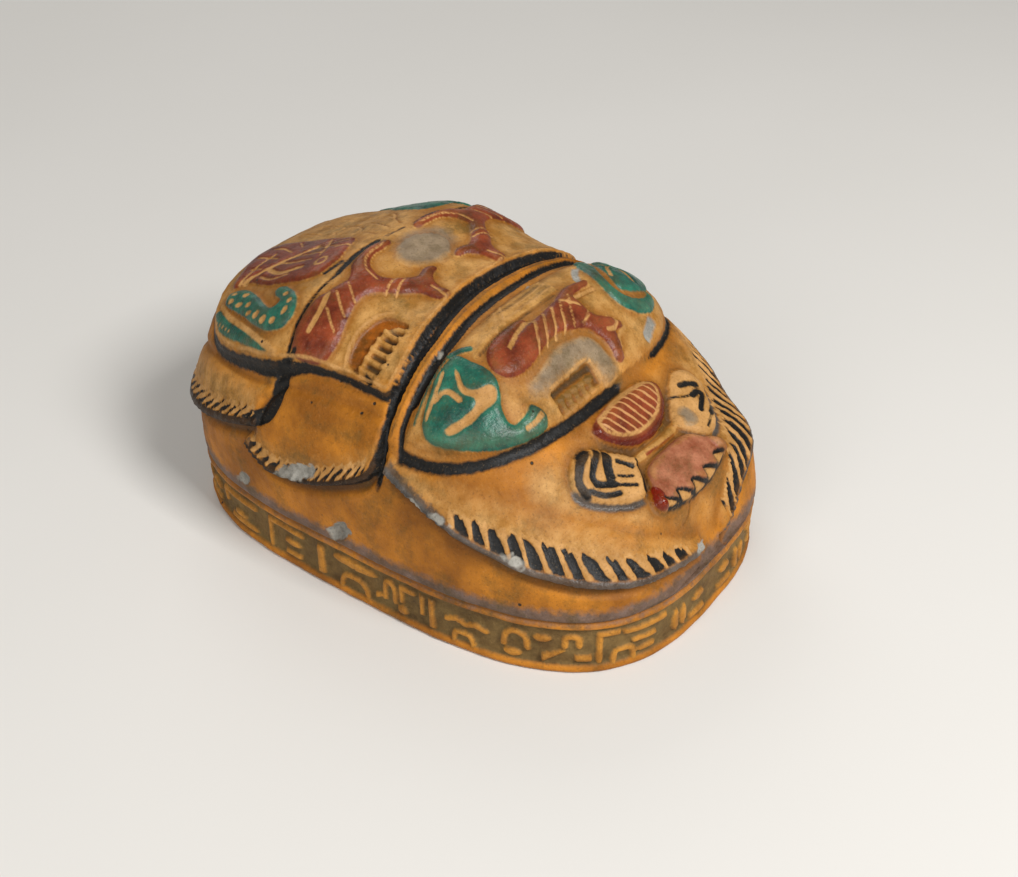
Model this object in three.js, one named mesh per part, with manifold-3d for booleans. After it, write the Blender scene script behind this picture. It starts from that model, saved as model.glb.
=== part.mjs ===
// A cast and painted scarab amulet: a domed beetle on an oval plinth whose wall carries a band of raised
// strokes. The casting is one piece. Millimetres, +Z up, head towards -Y, origin under the middle.

import * as THREE from 'three';
import { mergeVertices } from 'three/addons/utils/BufferGeometryUtils.js';
import Module from 'manifold-3d';

const wasm = await Module();
wasm.setup();

// Driving sizes of the casting
const LENGTH = 130;
const WIDTH = 88.2;
const HEIGHT = 67;
const LEDGE_HEIGHT = 15;
const BAND_HEIGHT = 13.3;
const FIELD_DEPTH = 1.0;
const TOP_RAIL = 1.1;
const FOOT_RAIL = 1.8;
const LEDGE_GROOVE_DEPTH = 1.0;
const STROKE_DEPTH = 0.85;

// Heights of the carving above the skin, and depths of the cuts into it
const WING_CASE_RISE = 1.4;
const SHIELD_RISE = 1.0;
const FIGURE_RISE = 0.8;
const LEG_RISE = 2.4;
const LEFT_LEG_RISE = 1.6;
const HEAD_RISE = 1.5;
const LINE_DEPTH = 0.6;
const COMB_DEPTH = 0.9;
const KNOB_RADIUS = 1.6;

// Plan outline: one power curve towards the head and a squarer one towards the tail
const HEAD_POWER = 3.0;
const TAIL_POWER = 3.4;

// Cross-section of the dome
const SECTION_POWER = 2.985;
const SECTION_ROOT = 0.394;

// Height of the back along the middle: share of half the length, share of the rise above the ledge
const CREST = [
  [-0.985, 0], [-0.892, 0.346], [-0.723, 0.458], [-0.615, 0.592], [-0.308, 0.911], [0, 0.915],
  [0.308, 1], [0.615, 0.868], [0.831, 0.761], [0.985, 0.501],
];

// Slopes of the crest at its two ends
const CREST_START_SLOPE = 4.2;
const CREST_END_SLOPE = -2.6;

// Rings of the skin, as shares of the plan outline, and the number of corners in each
const RING_CORNERS = 46;
const RING_SHARES = [1, 0.9993, 0.995, 0.98, 0.95, 0.905, 0.83, 0.71, 0.55, 0.36, 0.17];

const halfLength = LENGTH / 2;
const halfWidth = WIDTH / 2;
const rise = HEIGHT - WING_CASE_RISE - FIGURE_RISE - LEDGE_HEIGHT;

// The carving is set out in drawing units and keeps its shares of the body. The body is 130 units long and
// 88.2 wide and its rim 373.3 round; the band is 13.3 high, and the dome rises 51.5 above a foot at 15.
const lengthUnit = LENGTH / 130;
const widthUnit = WIDTH / 88.2;
const bandUnit = BAND_HEIGHT / 13.3;
const domeUnit = rise / 51.5;
const DOME_FOOT_UNITS = 15;
const RIM_UNITS = 373.3;

// Plan outline

function rimAtAngle(angle) {
  const c = Math.cos(angle);
  const s = Math.sin(angle);
  const power = s < 0 ? HEAD_POWER : TAIL_POWER;
  const x = halfWidth * Math.sign(c) * Math.abs(c) ** (2 / power);
  const y = halfLength * Math.sign(s) * Math.abs(s) ** (2 / power);
  return new THREE.Vector2(x, y);
}

// The rim is walked from the middle of the head round the beetle's right side, in equal steps of length
const RIM_STEPS = 2880;
const rimCorners = [];
const rimLengths = [0];
for (let i = 0; i <= RIM_STEPS; i += 1) {
  rimCorners.push(rimAtAngle(-Math.PI / 2 - (i / RIM_STEPS) * Math.PI * 2));
  if (i > 0) {
    rimLengths.push(rimLengths[i - 1] + rimCorners[i].distanceTo(rimCorners[i - 1]));
  }
}

function rimPoint(share) {
  const wanted = (share - Math.floor(share)) * rimLengths[RIM_STEPS];
  let low = 0;
  let high = RIM_STEPS;
  while (high - low > 1) {
    const middle = (low + high) >> 1;
    if (rimLengths[middle] > wanted) high = middle;
    else low = middle;
  }
  const span = rimLengths[high] - rimLengths[low];
  return rimCorners[low].clone().lerp(rimCorners[high], (wanted - rimLengths[low]) / span);
}

function rimInward(share) {
  const step = 0.002;
  const along = rimPoint(share + step).sub(rimPoint(share - step)).normalize();
  return new THREE.Vector2(along.y, -along.x);
}

function halfWidthAt(y) {
  const power = y < 0 ? HEAD_POWER : TAIL_POWER;
  const share = Math.min(Math.abs(y) / halfLength, 1);
  return halfWidth * (1 - share ** power) ** (1 / power);
}

// Skin of the dome

// Slope of the crest at each of its points: the harmonic mean of the slopes beside it, so that the line
// never swings past a point
const crestSlopes = CREST.map(([y, z], i) => {
  if (i === 0 || i === CREST.length - 1) return 0;
  const before = (z - CREST[i - 1][1]) / (y - CREST[i - 1][0]);
  const after = (CREST[i + 1][1] - z) / (CREST[i + 1][0] - y);
  return before * after > 0 ? (2 * before * after) / (before + after) : 0;
});
crestSlopes[0] = CREST_START_SLOPE;
crestSlopes[CREST.length - 1] = CREST_END_SLOPE;

function crestHeight(y) {
  const share = THREE.MathUtils.clamp(y / halfLength, CREST[0][0], CREST[CREST.length - 1][0]);
  let i = 1;
  while (i < CREST.length - 1 && CREST[i][0] < share) i += 1;
  const [y0, z0] = CREST[i - 1];
  const [y1, z1] = CREST[i];
  const span = y1 - y0;
  const t = (share - y0) / span;
  const level = z0 * (1 + 2 * t) * (1 - t) ** 2 + z1 * t * t * (3 - 2 * t);
  const lean = span * t * (1 - t) * (crestSlopes[i - 1] * (1 - t) - crestSlopes[i] * t);
  return LEDGE_HEIGHT + rise * THREE.MathUtils.clamp(level + lean, 0, 1);
}

function skinHeight(x, y) {
  const half = halfWidthAt(y);
  const across = half > 0 ? Math.min(Math.abs(x) / half, 1) : 1;
  return LEDGE_HEIGHT + (crestHeight(y) - LEDGE_HEIGHT) * (1 - across ** SECTION_POWER) ** SECTION_ROOT;
}

// Solids

// Facets that differ by less than this are joined
const FACET_TOLERANCE = 0.1;

function toSolid(geometry) {
  const bare = geometry.clone();
  bare.deleteAttribute('normal');
  bare.deleteAttribute('uv');
  const merged = mergeVertices(bare, 1e-4);
  return new wasm.Manifold(new wasm.Mesh({
    numProp: 3,
    vertProperties: Float32Array.from(merged.attributes.position.array),
    triVerts: Uint32Array.from(merged.index.array),
  }));
}

function indexedGeometry(corners, faces) {
  const geometry = new THREE.BufferGeometry();
  geometry.setAttribute('position', new THREE.Float32BufferAttribute(corners.flat(), 3));
  geometry.setIndex(faces.flat());
  return geometry;
}

// Wall of the plinth from the foot up to the ledge: inset from the plan outline, height
const railGap = 0.35;
const railInset = 0.1;
const footBevel = 0.6;
const wallProfile = [
  [railInset + footBevel, 0],
  [railInset, footBevel],
  [railInset, FOOT_RAIL],
  [FIELD_DEPTH, FOOT_RAIL + railGap],
  [FIELD_DEPTH, BAND_HEIGHT - TOP_RAIL - railGap],
  [railInset, BAND_HEIGHT - TOP_RAIL],
  [railInset, BAND_HEIGHT],
  [LEDGE_GROOVE_DEPTH, BAND_HEIGHT + railGap],
  [0, LEDGE_HEIGHT - railGap],
];

// The body with its skin moved out by the given height, or in by a negative one
function bodyGeometry(offset) {
  const corners = [[0, 0, 0]];
  for (const [inset, z] of wallProfile) {
    for (let i = 0; i < RING_CORNERS; i += 1) {
      const share = i / RING_CORNERS;
      const p = rimPoint(share).addScaledVector(rimInward(share), inset);
      corners.push([p.x, p.y, z]);
    }
  }
  for (const ring of RING_SHARES) {
    for (let i = 0; i < RING_CORNERS; i += 1) {
      const p = rimPoint(i / RING_CORNERS).multiplyScalar(ring);
      corners.push([p.x, p.y, skinHeight(p.x, p.y)]);
    }
  }
  corners.push([0, 0, skinHeight(0, 0)]);
  const rings = wallProfile.length + RING_SHARES.length;
  const at = (ring, i) => 1 + ring * RING_CORNERS + (i % RING_CORNERS);
  const faces = [];
  for (let i = 0; i < RING_CORNERS; i += 1) {
    faces.push([0, at(0, i), at(0, i + 1)]);
    for (let ring = 0; ring < rings - 1; ring += 1) {
      faces.push([at(ring, i), at(ring + 1, i), at(ring + 1, i + 1)]);
      faces.push([at(ring, i), at(ring + 1, i + 1), at(ring, i + 1)]);
    }
    faces.push([at(rings - 1, i), corners.length - 1, at(rings - 1, i + 1)]);
  }
  const geometry = indexedGeometry(corners, faces);
  geometry.computeVertexNormals();
  const position = geometry.attributes.position;
  const normal = geometry.attributes.normal;
  const firstMoved = 1 + (wallProfile.length + 1) * RING_CORNERS;
  for (let i = firstMoved; i < position.count; i += 1) {
    position.setXYZ(
      i,
      position.getX(i) + normal.getX(i) * offset,
      position.getY(i) + normal.getY(i) * offset,
      position.getZ(i) + normal.getZ(i) * offset,
    );
  }
  return geometry;
}

const skins = new Map();

function skin(offset) {
  if (!skins.has(offset)) skins.set(offset, toSolid(bodyGeometry(offset)));
  return skins.get(offset);
}

// A plan outline of the drawing becomes an upright prism through the dome
function prism(outline) {
  const scaled = outline.map(([x, y]) => new THREE.Vector2(x * widthUnit, y * lengthUnit));
  if (THREE.ShapeUtils.isClockWise(scaled)) scaled.reverse();
  const bottom = LEDGE_HEIGHT + 1;
  const clearance = 6;
  const shape = new THREE.Shape(scaled);
  const depth = HEIGHT + clearance - bottom;
  const geometry = new THREE.ExtrudeGeometry(shape, { depth, bevelEnabled: false, steps: 1 });
  geometry.translate(0, 0, bottom);
  return toSolid(geometry);
}

// A strip on the side of the body: stations of distance along the rim, lower and upper height, between
// two insets from the plan outline. It lies on the beetle's right side, or on the left one if mirrored.
function sideStrip(stations, heightOf, innerInset, outerInset, mirrored) {
  const corners = [];
  for (const [along, low, high] of stations) {
    const share = along / RIM_UNITS;
    const inward = rimInward(share);
    for (const inset of [innerInset, outerInset]) {
      const p = rimPoint(share).addScaledVector(inward, inset);
      for (const z of [low, high]) {
        corners.push([mirrored ? -p.x : p.x, p.y, heightOf(z)]);
      }
    }
  }
  const faces = [];
  const quad = (a, b, c, d) => {
    const order = mirrored ? [a, c, b, a, d, c] : [a, b, c, a, c, d];
    faces.push(order);
  };
  const last = 4 * (stations.length - 1);
  for (let i = 0; i < last; i += 4) {
    quad(i + 6, i + 2, i + 3, i + 7);
    quad(i + 4, i + 5, i + 1, i);
    quad(i + 7, i + 3, i + 1, i + 5);
    quad(i + 6, i + 4, i, i + 2);
  }
  quad(0, 1, 3, 2);
  quad(last, last + 2, last + 3, last + 1);
  return toSolid(indexedGeometry(corners, faces));
}

const mirror = (outline) => outline.map(([x, y]) => [-x, y]);
const bandHeight = (z) => z * bandUnit;
const flankHeight = (z) => LEDGE_HEIGHT + (z - DOME_FOOT_UNITS) * domeUnit;

// Outlines

function splineThrough(points, closed) {
  const vectors = points.map(([x, y]) => new THREE.Vector3(x, y, 0));
  return new THREE.CatmullRomCurve3(vectors, closed, 'centripetal');
}

function smooth(points, count) {
  const curve = splineThrough(points, true);
  return curve.getPoints(count).slice(0, count).map((p) => [p.x, p.y]);
}

function ellipse(x, y, radiusX, radiusY, count) {
  const curve = new THREE.EllipseCurve(x, y, radiusX, radiusY);
  return curve.getPoints(count).slice(0, count).map((p) => [p.x, p.y]);
}

function ribbon(points, width, count) {
  const curve = splineThrough(points, false);
  const left = [];
  const right = [];
  for (let i = 0; i <= count; i += 1) {
    const p = curve.getPointAt(i / count);
    const t = curve.getTangentAt(i / count);
    left.push([p.x - t.y * (width / 2), p.y + t.x * (width / 2)]);
    right.push([p.x + t.y * (width / 2), p.y - t.x * (width / 2)]);
  }
  return [...left, ...right.reverse()];
}

const box = (x0, y0, x1, y1) => [[x0, y0], [x1, y0], [x1, y1], [x0, y1]];

// Shield behind the head, and the pair of wing cases

const shieldHalf = { width: 38, back: -12.6, front: -36.8, power: 2.9 };

function shieldOutline(count) {
  const outline = [];
  const depth = shieldHalf.back - shieldHalf.front;
  for (let i = 0; i <= count; i += 1) {
    const angle = (i / count) * Math.PI;
    const c = Math.cos(angle);
    const s = Math.sin(angle);
    const x = shieldHalf.width * Math.sign(c) * Math.abs(c) ** (2 / shieldHalf.power);
    outline.push([x, shieldHalf.back - depth * Math.abs(s) ** (2 / shieldHalf.power)]);
  }
  return outline;
}

const wingCaseRight = [
  [0, -2.2], [-20, -4.6], [-33.4, -5.8], [-34.3, 4.4], [-35, 9.4], [-36, 15], [-37.2, 20.5], [-37.4, 27],
  [-36.9, 31], [-35.8, 38], [-33.2, 46], [-28.4, 51.6], [-21, 55.4], [0, 57],
];
const wingCases = [...wingCaseRight, ...mirror(wingCaseRight).reverse().slice(1, -1)];

// Figures on the shield

const perchedBird = smooth([
  [-23.3, -14.6], [-27.6, -13.6], [-31, -14.4], [-34.6, -15.4], [-36.4, -17], [-36.9, -20],
  [-36.2, -23.4], [-34.4, -27.2], [-31.4, -31], [-28, -33.4], [-24.1, -35], [-20.9, -35], [-19.6, -33.4],
  [-21, -31], [-23.4, -31.2], [-26.6, -30.6], [-26.4, -28.1], [-24.7, -26.4], [-23, -24], [-22.9, -18.4],
], 22);
const curledStrip = smooth([
  [20.6, -12.9], [16.7, -19.4], [15, -24.4], [15.9, -28], [20.4, -30.6], [25.4, -30.4], [28.6, -27.4],
  [24.8, -28], [21, -27.4], [18.4, -25.3], [18.7, -21.8], [22.6, -15.9],
], 13);
const curledBody = smooth([
  [24.6, -15], [29.5, -15.6], [33.4, -17.4], [32.6, -22], [29.6, -26], [25.4, -26.8], [20, -25.6],
  [19.8, -23.6], [22, -19.6],
], 10);
const restingBeast = smooth([
  [-21.3, -20.8], [-22.6, -23.6], [-20.7, -26.3], [-16, -27.2], [-9.4, -26.3], [-5.4, -26],
  [-1.3, -26.9], [2.2, -28.1], [4, -30], [4.9, -32], [4.6, -34.7], [6.8, -34.9], [8.3, -33],
  [9.4, -31.2], [12.4, -30.6], [10.9, -28.9], [8, -27.5], [6.5, -26.2], [6.3, -24], [6.6, -22.4],
  [9.2, -22], [13.6, -21.2], [10.9, -20], [6.4, -19.7], [2.6, -20.6], [-2.9, -21.3], [-7.6, -21.2],
  [-8.5, -19.6], [-12.5, -18.9], [-18, -19.2],
], 32);
const shieldDisc = smooth([
  [-19, -29.6], [-15, -28.4], [-8.6, -27.5], [-2.1, -27.9], [1.4, -29], [3, -30.8], [3.4, -33],
  [3, -35.4], [-1.2, -35.9], [-2, -32.6], [-8, -31.6], [-15, -31.4],
], 14);
const spreadWing = smooth([
  [-22, -19.2], [-8, -19.4], [5.5, -19.2], [6.6, -15], [4.5, -12.6], [-4, -12.2], [-12, -13.6],
  [-17, -16.6],
], 14);
const birdPerch = ribbon([[-23.6, -13.2], [-22, -14.4], [-20.4, -16]], 1.5, 3);

// Figures on the wing cases

const standingBeast = smooth([
  [-35, 19], [-35.2, 14.4], [-33.8, 11.2], [-31.2, 10.4], [-28.1, 10.9], [-25, 11.7], [-21.5, 12],
  [-18.4, 10.5], [-16, 7.2], [-12.8, 3.7], [-11.4, -1.2], [-8.4, -1.7], [-8, 1.5], [-7.3, 3.9],
  [-5.7, 5.7], [-3.4, 6.8], [-5.8, 8.2], [-9, 7.6], [-12.2, 9.6], [-14.6, 12.2], [-14.4, 14.7],
  [-13, 16.8], [-10.4, 17.8], [-6.8, 17.8], [-4.1, 18.7], [-7.6, 20.4], [-12.4, 20.1], [-15.6, 19.5],
  [-19.2, 17.3], [-21.7, 18], [-23.9, 18.9], [-25.8, 20], [-29.3, 20.6], [-32.6, 20.4],
], 34);
const wingDisc = ellipse(-1, 12.2, 6.4, 4.4, 12);
const wovenFigure = smooth([
  [-26.7, 47.6], [-24.6, 48.4], [-23.6, 46.1], [-23.8, 42.7], [-25.8, 37.4], [-28.2, 32.6], [-28.4, 30],
  [-27.2, 29.4], [-25.4, 32.8], [-23.8, 32.3], [-24.3, 28.9], [-26, 25.5], [-28.6, 23.4], [-30.8, 23.2],
  [-32.3, 24.6], [-32.8, 28], [-31.8, 32.9], [-30, 38], [-28.5, 42.8],
], 20);
const wovenStrip = ribbon([[-35.2, 27.4], [-33.6, 34.2], [-30.8, 44], [-28.4, 48.4]], 1.8, 5);
const featherFigure = smooth([
  [-22.6, 28], [-20.7, 24.4], [-18.6, 23.8], [-14.4, 23.6], [-11.9, 24.5], [-6, 26.7], [-4.6, 31.1],
  [-4.2, 36.3], [-5, 45], [-7.4, 51], [-12.4, 53.4], [-17.6, 51.6], [-22.4, 49.6], [-21.6, 45],
  [-22.5, 39.3],
], 16);

// Head

const brow = smooth([
  [-12.1, -40.2], [-7, -38.9], [-1, -38.6], [5, -38.9], [10.6, -40.4], [11, -42.2], [9.2, -44.6],
  [4, -46.8], [-3, -46.8], [-8.4, -45], [-11.6, -42.2],
], 14);

// The snout is a fan, and its front edge is cut into equal teeth on a slight bow
const TOOTH_COUNT = 5;
const toothRow = { reach: 12.4, tips: -58.9, gaps: -57.5, bow: 0.6 };
const snout = [
  [13.2, -56.4], [10.6, -53.8], [7.6, -50.8], [0, -50.2], [-7.6, -50.8], [-10.6, -53.8], [-13.2, -56.4],
];
for (let i = 0; i <= 2 * TOOTH_COUNT; i += 1) {
  const side = i / TOOTH_COUNT - 1;
  const front = i % 2 ? toothRow.tips : toothRow.gaps;
  snout.push([toothRow.reach * side, front - toothRow.bow * (1 - side ** 2)]);
}
const cheek = [
  [-24.2, -44.6], [-23.4, -42.6], [-21.4, -41.2], [-16.9, -41.2], [-12, -44], [-7.8, -47.4], [-9, -50.6],
  [-12.2, -54], [-16.4, -53.6], [-21.2, -49.6],
];
const cheekCore = [
  [-21, -44.6], [-16.6, -42.8], [-12.4, -45.6], [-9.8, -48], [-12, -51.4], [-15.8, -51.4],
  [-19.4, -48.4],
];
const browRidge = ribbon([[-8.6, -48.6], [0, -49.2], [8.6, -48.6]], 0.9, 4);

// Legs on the flank: distance along the rim, lower edge, upper edge

const frontLeg = [
  [4, 19.4, 22], [10, 20.2, 25.4], [16, 21.4, 28.6], [22, 22.6, 31], [30, 23.9, 33.6], [38, 24.9, 35.8],
  [46, 26.6, 37.6], [54, 29.2, 39.6], [62, 32, 41], [70, 35.3, 42.2], [77, 38.2, 43], [81.5, 40, 43],
];
const leftFrontLeg = [
  [4, 18.5, 22], [8, 20, 26], [12, 22.5, 30.5], [16, 25, 33], [22, 27.6, 35.6], [30, 29.6, 38],
  [38, 32, 41], [46, 35, 45], [54, 37.4, 46], [62, 38.6, 46], [70, 39.6, 46], [77, 40.6, 46],
  [81.5, 41.6, 46],
];
const middleLeg = [
  [84.5, 39.6, 48], [87, 36.6, 48], [90, 34.6, 48], [95, 32.2, 48], [100, 30.2, 48], [105, 28.8, 48],
  [110, 27.8, 47.6], [115, 27.8, 47], [118, 28.8, 44], [120.5, 29.8, 38], [122.5, 31.4, 34],
];
const hindLeg = [
  [120, 37, 46], [123, 35.6, 45.4], [126, 34.6, 44.8], [131, 33, 44], [137, 31.2, 43.2],
  [144, 29.8, 42.6], [152, 28.6, 41], [160, 28.2, 38], [168, 28.4, 35.4], [176, 29.4, 32],
];

// The comb of bristles cuts the lower edge of a leg into teeth of equal pitch
function bristled(stations, pitch, depth) {
  const out = [];
  const first = stations[0][0];
  const last = stations[stations.length - 1][0];
  const count = Math.round((last - first) / pitch);
  for (let i = 0; i <= 2 * count; i += 1) {
    const along = first + (last - first) * (i / (2 * count));
    let j = 1;
    while (j < stations.length - 1 && stations[j][0] < along) j += 1;
    const [a, b] = [stations[j - 1], stations[j]];
    const t = (along - a[0]) / (b[0] - a[0]);
    const low = THREE.MathUtils.lerp(a[1], b[1], t);
    const high = THREE.MathUtils.lerp(a[2], b[2], t);
    out.push([along, i % 2 ? low : Math.min(low + depth, high - 0.6), high]);
  }
  return out;
}

const bristlePitch = 5.2;
const bristleDepth = 2.2;
const legReach = 13;
const legClearance = 4;
const legStrip = (stations, mirrored) => {
  return sideStrip(stations, flankHeight, legReach, -legClearance, mirrored);
};

// Band of raised strokes: shape, distance along the rim, lower height, length, height
const STROKES = [
  ['oval', 3.4, 6.3, 4.4, 2.4], ['bar', 3, 2.4, 6, 1.6], ['oval', 10.3, 3, 2, 6],
  ['oval', 13, 3.2, 2, 6], ['bar', 17, 9.1, 11, 1.5], ['bar', 20, 6.2, 6, 1.2], ['oval', 20, 3, 5, 1.5],
  ['arch', 25, 2.6, 6, 3.4], ['hook', 29.4, 3, 4.6, 8], ['bar', 35, 3.2, 3.6, 1.8],
  ['arch', 37, 7.4, 4.4, 3.2], ['wedge', 40.6, 2.6, 5, 4], ['oval', 43.6, 8.2, 4, 1.8],
  ['arch', 48, 5.6, 6.6, 4.8], ['oval', 50, 2.8, 4, 2], ['zigzag', 58, 6.6, 9.4, 2.2],
  ['arch', 60.4, 2.6, 6, 2.6], ['bar', 70.4, 2.6, 1.5, 8], ['bar', 73.2, 5, 1.2, 5.6],
  ['hook', 76, 6.2, 4, 4.4], ['oval', 77.6, 2.6, 3, 2.2], ['arch', 80.6, 5, 4, 5.6],
  ['wedge', 83.2, 3.4, 3.4, 3], ['oval', 86, 8.4, 12.8, 2.4], ['arch', 88.4, 2.6, 9, 4],
  ['bar', 101.4, 2.8, 2, 7.8], ['hook', 108, 3, 11.4, 7.9], ['oval', 108.6, 5.8, 5.4, 1.8],
  ['bar', 109, 2.7, 5, 1.2], ['hook', 124, 6.4, 13, 4], ['bar', 124, 2.7, 10.4, 1.3],
  ['oval', 127.6, 4.6, 5.6, 1.2], ['zigzag', 140, 6.6, 10, 2.6], ['bar', 141, 2.8, 8, 1.4],
  ['arch', 153, 5, 6, 5], ['oval', 154, 2.7, 4, 1.6], ['bar', 162, 2.7, 1.6, 7.8],
  ['oval', 166, 7.6, 7, 2.6], ['bar', 166, 3, 7, 1.5], ['hook', 176, 3, 6, 7.4],
];
const strokeWeight = 1.3;
const strokeSlant = 0.3;

function strokeStations(shape, along, z, length, height) {
  if (shape === 'bar') {
    return [[along, z, z + height], [along + length, z, z + height]];
  }
  if (shape === 'wedge') {
    return [[along, z + height - 0.5, z + height], [along + length, z, z + height * 0.6]];
  }
  if (shape === 'hook') {
    const top = z + height;
    const bend = along + length - strokeWeight;
    return [
      [along, top - strokeWeight, top],
      [bend - strokeSlant, top - strokeWeight, top],
      [bend, z, top],
      [bend + strokeWeight, z, top],
    ];
  }
  if (shape === 'zigzag') {
    return [0, 1, 2, 3, 4].map((i) => {
      const low = z + (i % 2 ? height - strokeWeight : 0);
      return [along + (length * i) / 4, low, low + strokeWeight];
    });
  }
  if (shape === 'arch') {
    return [-1, -0.5, 0, 0.5, 1].map((u) => {
      const top = z + strokeWeight + (height - strokeWeight) * (1 - u * u);
      return [along + (length * (u + 1)) / 2, Math.max(z, top - strokeWeight * (1 + Math.abs(u))), top];
    });
  }
  return [-0.95, -0.5, 0.5, 0.95].map((u) => {
    const half = (height / 2) * Math.sqrt(1 - u * u);
    return [along + (length * (u + 1)) / 2, z + height / 2 - half, z + height / 2 + half];
  });
}

// Assembly of the casting

const { union } = wasm.Manifold;
const raised = (outlines, height) => union(outlines.map(prism)).intersect(skin(height));
const sunk = (outlines, depth) => union(outlines.map(prism)).subtract(skin(-depth));

const plinthLimit = (() => {
  const corners = [];
  for (let i = RING_CORNERS; i > 0; i -= 1) corners.push(rimPoint(i / RING_CORNERS));
  const shape = new THREE.Shape(corners);
  const depth = HEIGHT * 2;
  return toSolid(new THREE.ExtrudeGeometry(shape, { depth, bevelEnabled: false, steps: 1 }));
})();

// The left front leg lies higher and flatter than the right one, and it alone has bristles on that side
const combed = (leg) => bristled(leg, bristlePitch, bristleDepth);
const legParts = [
  ...[frontLeg, middleLeg, hindLeg].map((leg) => legStrip(combed(leg), false)),
  legStrip(middleLeg, true),
  legStrip(hindLeg, true),
];
const leftFrontPart = legStrip(combed(leftFrontLeg), true).intersect(skin(LEFT_LEG_RISE));

const figuresOnShield = [
  perchedBird, curledStrip, curledBody, restingBeast, shieldDisc, spreadWing, birdPerch,
];
const figuresOnWings = [
  standingBeast, mirror(standingBeast), wingDisc, wovenFigure, mirror(wovenFigure), wovenStrip,
  featherFigure,
];

const combOnWing = [
  [-33.2, -0.8], [-33, 4], [-32.2, 6.8], [-27.7, 7.9], [-22.6, 6.6], [-20.6, 4], [-20.8, -0.8],
];
const comb = { first: -31.4, pitch: 2.1, tooth: 1.2, front: -0.9, back: 3.2 };
const combTeeth = [0, 1, 2, 3, 4].map((i) => {
  const start = comb.first + comb.pitch * i;
  return box(start, comb.front, start + comb.tooth, comb.back);
});
const combOnShield = box(-15.8, -35.7, -2.4, -31.9);

const raisedParts = [
  raised([shieldOutline(20)], SHIELD_RISE),
  raised([wingCases], WING_CASE_RISE),
  raised(figuresOnShield, SHIELD_RISE + FIGURE_RISE),
  raised(figuresOnWings, WING_CASE_RISE + FIGURE_RISE),
  raised([brow, snout, cheek, mirror(cheek)], HEAD_RISE),
  raised([cheekCore, mirror(cheekCore), browRidge], HEAD_RISE + FIGURE_RISE / 2),
  union(legParts).intersect(skin(LEG_RISE)).add(leftFrontPart).intersect(plinthLimit),
];

// A line across the back is drawn for the right half, and the left half is its mirror image
function acrossBack(rightHalf, width) {
  const leftHalf = mirror(rightHalf).reverse().slice(1);
  return ribbon([...rightHalf, ...leftHalf], width, 8);
}

const backLineWidth = 2.4;
const crossLineWidth = 0.9;
const backLines = [
  acrossBack([[-41.4, -7.9], [-30, -7.2], [-20, -6.3], [0, -3.6]], backLineWidth),
  acrossBack([[-38.6, -11.6], [-30, -11.3], [-20, -10.8], [0, -9.2]], backLineWidth),
];
const crossLine = acrossBack([[-36.6, 21], [-20, 20.6], [0, 20.8]], crossLineWidth);

const cutParts = [
  sunk(backLines, LINE_DEPTH),
  sunk([crossLine], LINE_DEPTH - WING_CASE_RISE),
  sunk([combOnWing], COMB_DEPTH - WING_CASE_RISE),
  sunk([combOnShield], COMB_DEPTH - SHIELD_RISE),
];

// A knob sits on each front corner of the snout
const knobPlace = [12.6, -56];
const knobs = [-1, 1].map((side) => {
  const x = side * knobPlace[0] * widthUnit;
  const y = knobPlace[1] * lengthUnit;
  const ball = new THREE.SphereGeometry(KNOB_RADIUS, 8, 6);
  ball.translate(x, y, skinHeight(x, y) + HEAD_RISE / 2);
  return toSolid(ball);
});

// The band on the left side has only its straight strokes
const plainStrokes = STROKES.filter(([shape]) => shape === 'bar' || shape === 'wedge');
const stroke = ([shape, along, z, length, height], mirrored) => {
  const stations = strokeStations(shape, along, z, length, height);
  return sideStrip(stations, bandHeight, FIELD_DEPTH * 2, FIELD_DEPTH - STROKE_DEPTH, mirrored);
};
const strokeParts = [
  ...STROKES.map((row) => stroke(row, false)),
  ...plainStrokes.map((row) => stroke(row, true)),
];

let casting = skin(0).add(union([...raisedParts, ...knobs]));
casting = casting.subtract(union(cutParts));
casting = casting.add(union([...strokeParts, raised(combTeeth, WING_CASE_RISE)]));
casting = casting.simplify(FACET_TOLERANCE);

const mesh = casting.getMesh();
const castingGeometry = new THREE.BufferGeometry();
castingGeometry.setAttribute('position', new THREE.BufferAttribute(mesh.vertProperties, 3));
castingGeometry.setIndex(new THREE.BufferAttribute(mesh.triVerts, 1));

const paintedStone = new THREE.MeshStandardMaterial({ color: 0xb87a35, roughness: 0.6, metalness: 0 });
const scarab = new THREE.Mesh(castingGeometry, paintedStone);
scarab.name = 'scarab';

const amulet = new THREE.Group();
amulet.add(scarab);

export default amulet;
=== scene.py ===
import collections
import math

import bpy
import numpy as np
from mathutils import Matrix, Vector, noise


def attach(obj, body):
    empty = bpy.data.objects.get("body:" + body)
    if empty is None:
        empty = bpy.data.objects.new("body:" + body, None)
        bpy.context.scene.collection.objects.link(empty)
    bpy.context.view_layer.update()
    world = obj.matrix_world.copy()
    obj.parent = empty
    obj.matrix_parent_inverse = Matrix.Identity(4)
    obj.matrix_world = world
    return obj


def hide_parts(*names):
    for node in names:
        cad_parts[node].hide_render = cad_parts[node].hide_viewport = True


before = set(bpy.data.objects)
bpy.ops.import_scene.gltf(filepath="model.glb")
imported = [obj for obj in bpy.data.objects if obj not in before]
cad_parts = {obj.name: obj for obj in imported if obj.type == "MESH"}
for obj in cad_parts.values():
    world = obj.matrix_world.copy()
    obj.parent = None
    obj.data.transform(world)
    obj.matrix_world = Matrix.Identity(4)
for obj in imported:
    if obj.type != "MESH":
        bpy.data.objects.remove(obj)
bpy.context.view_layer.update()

# The casting
# The amulet is one solid cast of stone powder in a rubber mould: a domed beetle that grows straight out
# of a low oval plinth. Its plan is a fat oval, squarer at the tail, and all its carving came with the mould.

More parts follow.
